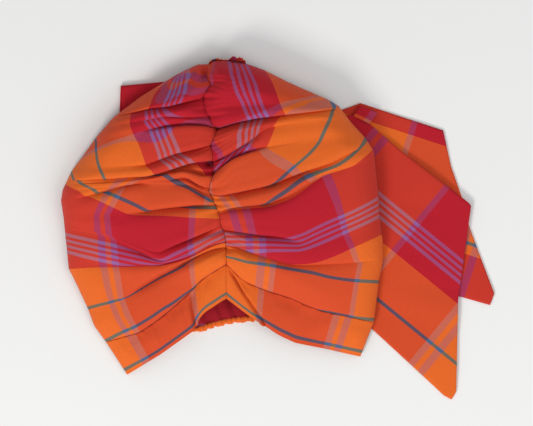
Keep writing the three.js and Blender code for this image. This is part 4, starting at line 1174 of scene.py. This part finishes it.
def back_surface():
    """The upper face of the panel. The last rows, above 1, run from the cap's own edge to the nape."""
    shares = np.linspace(0, 1, BACK_COLUMNS)
    rows = np.concatenate([np.linspace(0, 1, 110), 1 + np.linspace(0, 1, 30)[1:]])
    foot = np.minimum(rows, 1)
    left, right = (
        np.stack([np.interp(foot, half["rows"], half["plan"][:, -1, k]) for k in (0, 1)], -1)
        for half in (LEFT, RIGHT)
    )
    plan = left[:, None] + (right - left)[:, None] * shares[None, :, None]
    plan[..., 0] += blend(0.8, -0.8, shares)[None]
    arch = CROWN_ARCH * (1 - ease(foot, 0, 0.3)) + NAPE_ARCH * ease(foot, 0.2, 1)
    tucked = 0.8 * np.maximum(0, 1 - 8 * foot)
    plan[..., 1] += arch[:, None] * 4 * (shares * (1 - shares))[None] - tucked[:, None]
    edge = nape_point(shares, np.full_like(shares, CASING_HEIGHT / 2 - SEWN_IN))
    plan += (edge[None] - plan) * (rows - foot)[:, None, None]
    wander = 1.3 * soft_noise(shares * 21, shares * 0, 5)
    pleats = 0.5 - 0.5 * np.cos(2 * np.pi * NAPE_PLEATS * shares + wander)
    middle = ease(1 - np.abs(2 * shares - 1), 0, 0.3)
    gathered = ease(rows, 1.0, 1.9)[:, None] * pleats[None] * middle[None]
    gathered *= 1 - 0.55 * ease(rows, 1.6, 2.0)[:, None]
    z = DECK * under_ties(plan) + BACK_WALL + PLEAT_HEIGHT * gathered**PLEAT_POWER
    return np.concatenate([plan, z[..., None]], -1)


back = back_surface()
back_pixels = pixels_of(back[..., :2])
back_uv = np.stack([(back_pixels[..., 0] - 160) / U_REPEAT, (back_pixels[..., 1] - 180) / V_REPEAT], -1)
cloth("back_panel_cloth", back, back_uv, BACK_WALL,
                             "back_panel", BACK_PAINTED_SHADE_CLOTH)

# %% [markdown]
# ## The nape casing
#
# The casing is a narrow tube of cloth with elastic in it, so it ruffles all along. A bevelled curve
# with a noise displacement would be quick, but its wrinkles would be lumps. Here rings of points are
# set along the nape, and each ring swells and shrinks in turn, which gives the even ruffle of cloth
# on elastic. Where the casing runs in under the cap it is flatter, so that it doesn't show.

# %% The casing as rings of points
CASING_SIDES = 16
CASING_RINGS = 420
RUFFLES, FRILLS = 46, 23
RUFFLE_HEIGHT, FRILL_DEPTH = 0.35, 1.6
SHOWN_FROM, SHOWN_TO = (0.26, 0.31), (0.54, 0.59)      # where the cap's edge starts and ends above it
HIDDEN_WIDTH = 0.5         # under the cap it is this share as wide


def casing_grid():
    """Where each ring lies along the nape, from 0 to 1, and the points of the rings."""
    shares = np.linspace(0, 1, CASING_RINGS)
    middle = nape_point(shares, np.zeros(CASING_RINGS))
    forward = np.gradient(middle, axis=0)
    forward /= np.linalg.norm(forward, axis=-1, keepdims=True)
    across = np.stack([-forward[:, 1], forward[:, 0]], -1)
    floor = DECK * under_ties(middle)
    angles = 2 * np.pi * (np.arange(CASING_SIDES) + 0.5) / CASING_SIDES
    wander = soft_noise(shares * 37, shares * 0, 9)
    swell = np.sin(2 * np.pi * RUFFLES * shares + 2.2 * wander)
    frill = 0.5 + 0.5 * np.sin(2 * np.pi * FRILLS * shares + 2 * wander)
    shown = ease(shares, *SHOWN_FROM) * (1 - ease(shares, *SHOWN_TO))
    width = CASING_HEIGHT / 2 * np.cos(angles)[None] + RUFFLE_HEIGHT * swell[:, None]
    width = width * blend(HIDDEN_WIDTH, 1, shown)[:, None] + 1.8 * (1 - shown)[:, None]
    width -= (FRILL_DEPTH * frill * shown)[:, None] * np.clip(-np.cos(angles), 0, 1)[None] ** 4
    height = (CASING_THICKNESS / 2 + RUFFLE_HEIGHT * swell)[:, None] * (1 + np.sin(angles)[None])
    plan = middle[:, None] + across[:, None] * width[..., None]
    return shares, np.concatenate([plan, (floor[:, None] + height)[..., None]], -1)


def nape_casing(shares, grid):
    """The rings joined into a tube."""
    steps, sides = grid.shape[:2]
    index = np.arange(steps * sides).reshape(steps, sides)
    ahead = np.roll(index, -1, 1)
    faces = np.stack([index[:-1], ahead[:-1], ahead[1:], index[1:]], -1).reshape(-1, 4)
    u = np.full((steps, sides), 140 / U_REPEAT) + (shares * 120 / U_REPEAT)[:, None] * 0.2
    v = np.full((steps, sides), 20 / V_REPEAT) + (np.arange(sides) / sides * 8 / V_REPEAT)[None]
    uv = np.stack([u, v], -1).reshape(-1, 2)
    return mesh_object("nape_casing_cloth", grid.reshape(-1, 3), faces, uv, "nape_casing",
                       CASING_CLOTH)


CASING_SHARES, CASING_GRID = casing_grid()
CASING = nape_casing(CASING_SHARES, CASING_GRID)
print("casing", len(CASING.data.polygons), "faces")

# %% [markdown]
# ## The gathered end of the seam at the crown
#
# At the crown the allowance of the ruched seam stands up beyond the edge in a small ruffle. It is one
# more sheet: its foot follows the crown edge, its top stands out by the reach read off the
# photograph, and a wave along it makes the pleats.

# %% The ruffle at the crown
# Where the gathered end shows beyond the crown edge: x in pixels, and how far it stands out
FRILL_REACH = [(208.5, 0), (211, 1.5), (214, 0.6), (217.5, 1.6), (221, 0.3), (228, 0.2), (231, 3.2),
               (233, 4.8), (235.4, 3.6), (237.6, 3.4), (239.8, 4.6), (241.4, 4.0), (244, 2.2), (246.5, 0.2)]
FRILL_WALL = 1.3
FRILL_PLEATS = 9


def crown_frill():
    """The ruffle's front face. It starts a little inside the crown edge."""
    shares, ups = np.linspace(0, 1, 190), np.linspace(0, 1, 18)
    edge = np.stack([np.interp(0.66 * shares, RIGHT["outs"], RIGHT["plan"][0, :, k]) for k in (0, 1)], -1)
    reach = np.interp(pixels_of(edge)[:, 0], *np.array(FRILL_REACH).T) * PX
    pleat = np.sin(2 * np.pi * FRILL_PLEATS * shares + 2.5 * soft_noise(shares * 9, shares * 0, 41))
    y = edge[None, :, 1] - 1.6 + (reach[None] + 1.9) * ups[:, None] + 0.35 * pleat[None] * ups[:, None]
    x = edge[None, :, 0] + 0.5 * pleat[None] * ups[:, None]
    stand = (5 + 1.6 * reach[None]) * np.sin(0.9 * np.pi / 2 * ups)[:, None]
    z = DECK + BACK_WALL + GAP + stand + 0.6 * pleat[None]
    return np.stack([x, y, z], -1)


frill = crown_frill()
steps = np.linspace(0, 1, frill.shape[1])
frill_uv = np.stack(np.broadcast_arrays(
    (60 + 60 * steps)[None] / U_REPEAT, (80 + 34 * steps)[None] / V_REPEAT + 0 * frill[..., 0]), -1)
cloth("crown_gather_cloth", frill, frill_uv, FRILL_WALL,
                               "crown_gather", FRONT_CLOTH)

# %% [markdown]
# ## The ties
#
# A tie is a long strap of doubled cloth with turned, pressed edges. The left one runs out to the
# left, folds back under itself and comes out on the right as the rear tail. The right one lies on it
# as the front tail. A simulation would let them drift, and the photograph shows where both lie, so
# each is a grid between its two edges, set on whatever it crosses. Outside the cap it waves a little,
# as cloth does that was only laid down.

# %% A strap between two edges
TIE_WALL = 2.3


def strap_plan(upper, lower, end, rows, columns):
    """A grid between two edges, whose last row follows the cut end."""
    top = along(upper, np.linspace(0, 1, rows))
    bottom = along(lower, np.linspace(0, 1, rows))
    across = np.linspace(0, 1, columns)
    grid = top[:, None] + (bottom - top)[:, None] * across[None, :, None]
    cut = along(end, across)
    bulge = cut - grid[-1]
    share = ease(np.linspace(0, 1, rows), 0.55, 1)
    return grid + bulge[None] * share[:, None, None]


def waves(plan, height, pitch, seed):
    """Soft waves of one height and pitch, in millimetres."""
    return height * soft_noise(plan[..., 0] / pitch, plan[..., 1] / pitch, seed)


def tie_uv(plan, turn, u_start, v_start):
    """Straight stripes, turned by some degrees from the photograph's own axes."""
    x, y = np.moveaxis(pixels_of(plan), -1, 0)
    cos, sin = np.cos(np.radians(turn)), np.sin(np.radians(turn))
    u = cos * x + sin * y - u_start
    v = -sin * x + cos * y - v_start
    return np.stack([(104.5 - u) / U_REPEAT, (v - 3) / V_REPEAT], -1)


def strap(name, edges, floor, lift, node, uv_place):
    """A doubled tie on its floor. edges are its upper edge, its lower edge and its cut end."""
    plan = place(strap_plan(*edges, 150, 84))
    z = floor(plan) + TIE_WALL + lift(plan)
    grid = np.concatenate([plan, z[..., None]], -1)
    return cloth(name, grid, tie_uv(plan, *uv_place), TIE_WALL, node, TIE_CLOTH, rounded=True)


# %% The two tails
REAR_UV = (18, 430, -2.2)      # how far the stripes are turned, and where U and V start
FRONT_UV = (39.2, 462, -57)


def free_cloth(plan):
    """1 on the tails, 0 under the cap, so that the waves start outside it."""
    x = pixels_of(plan)[..., 0]
    return ease(x, 388, 430)


def rear_floor(plan):
    return 0 * plan[..., 0]


def rear_lift(plan):
    """Waves of the rear tail, which the front tail presses flat where it lies on it."""
    return np.abs(waves(plan, 2.0, 46, 51)) * free_cloth(plan) * (1 - drape_over(FRONT_OUTLINE, plan))


def front_floor(plan):
    return (TIE_WALL + GAP) * drape_over(REAR_OUTLINE, plan)


def front_lift(plan):
    """Waves of the front tail, and the hump where it comes out from under the cap."""
    x, y = np.moveaxis(pixels_of(plan), -1, 0)
    near_cap = ease(x, 375, 395) * (1 - ease(x, 420, 470))
    return np.abs(waves(plan, 2.4, 52, 57)) * free_cloth(plan) + 1.5 * near_cap * ease(y, 330, 250)


REAR_EDGES = (REAR_UPPER, REAR_LOWER, REAR_END)
FRONT_EDGES = (FRONT_UPPER, FRONT_LOWER, FRONT_END)
strap("tie_left_cloth", REAR_EDGES, rear_floor, rear_lift, "tie_left", REAR_UV)
strap("tie_right_cloth", FRONT_EDGES, front_floor, front_lift, "tie_right", FRONT_UV)

# %% [markdown]
# ## The folded end and the turned corner
#
# At the far left the tie turns under itself, so two layers and a rounded bend show beside the cap. On
# the right, the top corner of the front tail has flipped over and shows a lavender stripe and a thin
# orange one along its edges. Bending the straps' own grids that sharply would crush their faces, so
# these three are small sheets of their own, laid where the folded cloth lies.

# %% The fold at the far left
FOLD_FOOT = (121.4, 241.3)
BEND_WALL = 1.2


def folded_run():
    """The upper run of the left tie, which lies on its own lower run under the cap."""
    steps = np.linspace(0, 1, 70)
    top = along(REAR_UPPER[:3] + [(286, 82.4)], steps)
    bottom = along([FOLD_FOOT, (286, 241.3)], steps)
    across = np.linspace(0, 1, 50)
    plan = place(top[:, None] + (bottom - top)[:, None] * across[None, :, None])
    z = np.full(plan.shape[:2], 2 * TIE_WALL + GAP)
    x, y = np.moveaxis(pixels_of(plan), -1, 0)
    uv = np.stack([(60 + (x - 120) * 0.3) / U_REPEAT, (126 + (y - 88) * 0.3) / V_REPEAT], -1)
    return cloth("tie_left_upper_run", np.concatenate([plan, z[..., None]], -1), uv, TIE_WALL, "tie_left",
                 TIE_CLOTH, rounded=True)


def fold_edge():
    """The bend at the far left, where the tie turns under itself."""
    lines = along([REAR_UPPER[0], (119.2, 109.8), FOLD_FOOT], np.linspace(0, 1, 60))
    angles = np.linspace(-np.pi / 2, np.pi / 2, 12)
    radius = (2 * TIE_WALL + GAP) / 2
    plan = place(lines)
    x = plan[:, None, 0] + 1.0 - 0.55 * radius * np.cos(angles)[None]
    y = np.broadcast_to(plan[:, None, 1], x.shape)
    z = np.broadcast_to((radius + radius * np.sin(angles))[None], x.shape)
    uv = np.stack(np.broadcast_arrays(np.full(len(lines), 60 / U_REPEAT)[:, None],
                                      np.linspace(100, 130, 12)[None] / V_REPEAT), -1)
    grid = np.stack([x, y, z], -1)
    return cloth("tie_left_bend", grid, uv, BEND_WALL, "tie_left", TIE_CLOTH)


# %% The turned corner of the right tie
TURNED_CORNER = [(353.5, 115.8), (360.6, 105), (378.1, 112.8), (369.6, 123.4)]
LAVENDER_FROM, ORANGE_FROM = 0.62, 0.78    # shares of the way to the right, and down


def turned_corner():
    """The corner of the right tie, turned over on itself where it leaves the cap."""
    down, across = np.linspace(0, 1, 30), np.linspace(0, 1, 30)
    left = along([TURNED_CORNER[1], TURNED_CORNER[0]], down)
    right = along([TURNED_CORNER[2], TURNED_CORNER[3]], down)
    plan = place(left[:, None] + (right - left)[:, None] * across[None, :, None])
    base = (TIE_WALL + GAP) * (1 + drape_over(REAR_OUTLINE, plan))
    z = base + TIE_WALL + 0.6 * np.sin(np.pi * across)[None]
    u, v = 98.5 + (across - LAVENDER_FROM) * 16, 96 + (ORANGE_FROM - down) * 14
    uv = np.stack(np.broadcast_arrays(u[None] / U_REPEAT, v[:, None] / V_REPEAT), -1)
    return cloth("tie_right_corner", np.concatenate([plan, z[..., None]], -1), uv, TIE_WALL, "tie_right",
                 TIE_CLOTH, rounded=True)


UPPER_RUN, BEND, CORNER = folded_run(), fold_edge(), turned_corner()
print("fold and corner:", [len(piece.data.polygons) for piece in (UPPER_RUN, BEND, CORNER)], "faces")

# %% [markdown]
# ## The stitches
#
# Two seams get a row of thread: the short one that joins the two brow bands at the peak, and the one
# that closes the casing along the nape. The photograph shows the first as a thin broken line and no
# thread on the second, so the size and colour of the stitches are a guess from how such cloth is
# usually sewn. A machine stitch is one short length of thread at an even pitch. It could be a dashed
# bump in the material, but that can't stand up from the cloth, and setting each thread by hand is
# slow to change.
#
# Geometry Nodes are used here, because a row of stitches only needs its line, a pitch and one thread.
# The tree turns the edges of a mesh into a curve, walks it in even steps, puts a thread on each step
# and turns it along the line. A fixed seed makes the stitches a little uneven, the same way each run.

# %% A tree that sews
STITCH_PITCH = 2.4
STITCH_LENGTH = 1.7
THREAD_THICKNESS = 0.5
THREAD_SIDES, THREAD_RINGS = 8, 6
STITCH_SEED = 5


def stitch_tree():
    """A tree that sews a row of threads along the edges of its mesh."""
    tree = bpy.data.node_groups.new("Stitches", "GeometryNodeTree")
    add_socket(tree, "Seam", "NodeSocketGeometry")
    add_socket(tree, "Pitch", "NodeSocketFloat", STITCH_PITCH * MM)
    add_socket(tree, "Thread Length", "NodeSocketFloat", STITCH_LENGTH * MM)
    add_socket(tree, "Thread Thickness", "NodeSocketFloat", THREAD_THICKNESS * MM)
    add_socket(tree, "Seed", "NodeSocketInt", STITCH_SEED)
    add_socket(tree, "Thread", "NodeSocketMaterial")
    add_socket(tree, "Stitches", "NodeSocketGeometry", output=True)
    start, end = add_node(tree, "NodeGroupInput"), add_node(tree, "NodeGroupOutput")
    line = add_node(tree, "GeometryNodeMeshToCurve", {"Mesh": start.outputs["Seam"]})
    steps = add_node(tree, "GeometryNodeResampleCurve",
                     {"Curve": line.outputs["Curve"], "Length": start.outputs["Pitch"]}, mode="LENGTH")
    thick = start.outputs["Thread Thickness"]
    size = add_node(tree, "ShaderNodeCombineXYZ",
                    {"X": start.outputs["Thread Length"], "Y": thick, "Z": thick})
    bead = add_node(tree, "GeometryNodeMeshUVSphere",
                    {"Segments": THREAD_SIDES, "Rings": THREAD_RINGS, "Radius": 0.5})
    thread = add_node(tree, "GeometryNodeTransform",
                      {"Geometry": bead.outputs["Mesh"], "Scale": size.outputs["Vector"]})
    tangent = add_node(tree, "GeometryNodeInputTangent")
    along_line = add_node(tree, "FunctionNodeAlignRotationToVector", {"Vector": tangent.outputs["Tangent"]},
                          axis="X")
    uneven = add_node(tree, "FunctionNodeRandomValue", {"Seed": start.outputs["Seed"]},
                      data_type="FLOAT_VECTOR")
    uneven.inputs["Min"].default_value = (0.85, 0.9, 0.9)
    uneven.inputs["Max"].default_value = (1.1, 1.1, 1.1)
    row = add_node(tree, "GeometryNodeInstanceOnPoints",
                   {"Points": steps.outputs["Curve"], "Instance": thread.outputs["Geometry"],
                    "Rotation": along_line.outputs["Rotation"], "Scale": uneven.outputs["Value"]})
    real = add_node(tree, "GeometryNodeRealizeInstances", {"Geometry": row.outputs["Instances"]})
    finish = add_node(tree, "GeometryNodeSetMaterial",
                      {"Geometry": real.outputs["Geometry"], "Material": start.outputs["Thread"]})
    tree.links.new(finish.outputs["Geometry"], end.inputs["Stitches"])
    return tree


STITCHES = stitch_tree()
print("the stitch tree has", len(STITCHES.nodes), "nodes")

# %% The sewing thread


def thread_material():
    """Cotton thread, a little lighter and darker from place to place."""
    material = bpy.data.materials.new("sewing_thread")
    material.use_nodes = True
    tree = material.node_tree
    shader = tree.nodes["Principled BSDF"]
    shader.inputs["Roughness"].default_value = 0.7
    shader.inputs["Specular IOR Level"].default_value = 0.25
    where = add_node(tree, "ShaderNodeTexCoord")
    tone = add_node(tree, "ShaderNodeTexNoise", {"Vector": where.outputs["Object"], "Scale": 900.0})
    shade = add_node(tree, "ShaderNodeValToRGB", {"Fac": tone.outputs["Fac"]})
    shade.color_ramp.elements[0].color = linear("#A63A1E")
    shade.color_ramp.elements[1].color = linear("#E0702E")
    tree.links.new(shade.outputs["Color"], shader.inputs["Base Color"])
    return material


THREAD = thread_material()
print("the thread is", THREAD.name)

# %% Sewing the two seams


def sew(name, seam, node):
    """A row of stitches along these places in millimetres, as a plain mesh."""
    mesh = bpy.data.meshes.new(name)
    mesh.from_pydata((seam * MM).tolist(), [(k, k + 1) for k in range(len(seam) - 1)], [])
    line = bpy.data.objects.new(f"{name}_line", mesh)
    bpy.context.scene.collection.objects.link(line)
    modifier = line.modifiers.new("stitches", "NODES")
    modifier.node_group = STITCHES
    tree_inputs = [item for item in STITCHES.interface.items_tree if item.in_out == "INPUT"]
    sockets = {item.name: item.identifier for item in tree_inputs}
    modifier[sockets["Pitch"]] = STITCH_PITCH * MM
    modifier[sockets["Seed"]] = STITCH_SEED
    modifier[sockets["Thread"]] = THREAD
    ready = line.evaluated_get(bpy.context.evaluated_depsgraph_get())
    sewn = bpy.data.meshes.new_from_object(ready)
    line.modifiers.remove(modifier)
    bpy.data.objects.remove(line)
    sewn.name = name
    piece = bpy.data.objects.new(name, sewn)
    bpy.context.scene.collection.objects.link(piece)
    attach(piece, "root")
    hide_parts(node)
    stitches = len(sewn.polygons) // (THREAD_SIDES * THREAD_RINGS)
    print(name, len(sewn.polygons), "faces in", stitches, "stitches")
    return piece


middle_seam = (LEFT["band"][3:-2, 0] + RIGHT["band"][3:-2, 0]) / 2 + (0, 0, 0.15)
sew("brow_band_stitches", middle_seam, "brow_band_left")
shown = (CASING_SHARES > 0.25) & (CASING_SHARES < 0.6)
nape_seam = CASING_GRID[shown, 2] + (0, 0, 0.1)
CASING_STITCHES = sew("nape_casing_stitches", nape_seam, "nape_casing")

# %% [markdown]
# ## Hiding the plain solids
#
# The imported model's own nodes have the main shapes for collision and size. Every one of them is soft
# cloth here and has a finer piece that stands for it, so none is shown.

# %% Hide the CAD nodes
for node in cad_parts.values():
    node.hide_render = True
    node.hide_viewport = True
print(len(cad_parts), "nodes hidden")

# %% [markdown]
# ## Floor, light and camera
#
# The turban lies on a plain pale table. A large lamp low at the lower left throws the soft shadows up
# and to the right and rakes across the folds, so that they show. A second one at the right and a pale
# sky keep the far side readable. The camera looks straight down from far above, which keeps the plan
# free of perspective.

# %% The table top
FLOOR_SIZE = 8.0           # metres


def floor_material():
    """A matt pale board."""
    material = bpy.data.materials.new("table_top")
    material.use_nodes = True
    shader = material.node_tree.nodes["Principled BSDF"]
    shader.inputs["Base Color"].default_value = linear("#E7E7E6")
    shader.inputs["Roughness"].default_value = 0.9
    shader.inputs["Specular IOR Level"].default_value = 0.1
    return material


def add_floor():
    """One square, wide enough to fill every view."""
    half = FLOOR_SIZE / 2
    mesh = bpy.data.meshes.new("table_top")
    corners = [(-half, -half, 0), (half, -half, 0), (half, half, 0), (-half, half, 0)]
    mesh.from_pydata(corners, [], [(0, 1, 2, 3)])
    mesh.materials.append(floor_material())
    floor = bpy.data.objects.new("table_top", mesh)
    bpy.context.scene.collection.objects.link(floor)


add_floor()
print(f"a table top of {FLOOR_SIZE:.0f} by {FLOOR_SIZE:.0f} m")

# %% Lamps and sky


def add_light(name, location, size, energy, color=(1, 1, 1)):
    """A square lamp that faces the middle of the table."""
    data = bpy.data.lights.new(name, "AREA")
    data.size = size
    data.energy = energy
    data.color = color
    lamp = bpy.data.objects.new(name, data)
    lamp.location = location
    lamp.rotation_mode = "QUATERNION"
    lamp.rotation_quaternion = (-lamp.location).to_track_quat("-Z", "Y")
    bpy.context.scene.collection.objects.link(lamp)


def add_world():
    """An even, slightly cool sky."""
    world = bpy.data.worlds.new("studio")
    world.use_nodes = True
    sky = world.node_tree.nodes["Background"]
    sky.inputs["Color"].default_value = (0.97, 0.985, 1, 1)
    sky.inputs["Strength"].default_value = 0.56
    bpy.context.scene.world = world


add_light("key", (-1.6, -2.6, 2.2), 1.0, 80, (1, 0.985, 0.96))
add_light("fill", (2.3, -1.2, 2.6), 2.4, 42)
add_world()
print("lamps:", ", ".join(lamp.name for lamp in bpy.data.lights))

# %% The camera
CAMERA_HEIGHT = 6.0
CLOTH_LEVEL = 0.03         # the height at which the picture is as wide as it says
VIEW_CENTRE_PX = (266.5, 213.0)
VIEW_WIDTH_PX = 533.0
SENSOR_WIDTH = 36


def add_camera():
    """A long lens straight above, which frames what the photograph frames."""
    centre = place(VIEW_CENTRE_PX) * MM
    data = bpy.data.cameras.new("camera")
    data.sensor_width = SENSOR_WIDTH
    data.lens = SENSOR_WIDTH * (CAMERA_HEIGHT - CLOTH_LEVEL) / (VIEW_WIDTH_PX * PX * MM)
    camera = bpy.data.objects.new("camera", data)
    camera.location = (centre[0], centre[1], CAMERA_HEIGHT)
    bpy.context.scene.collection.objects.link(camera)
    bpy.context.scene.camera = camera


add_camera()
bpy.context.scene.view_settings.view_transform = "Standard"
print(f"lens {bpy.context.scene.camera.data.lens:.0f} mm")
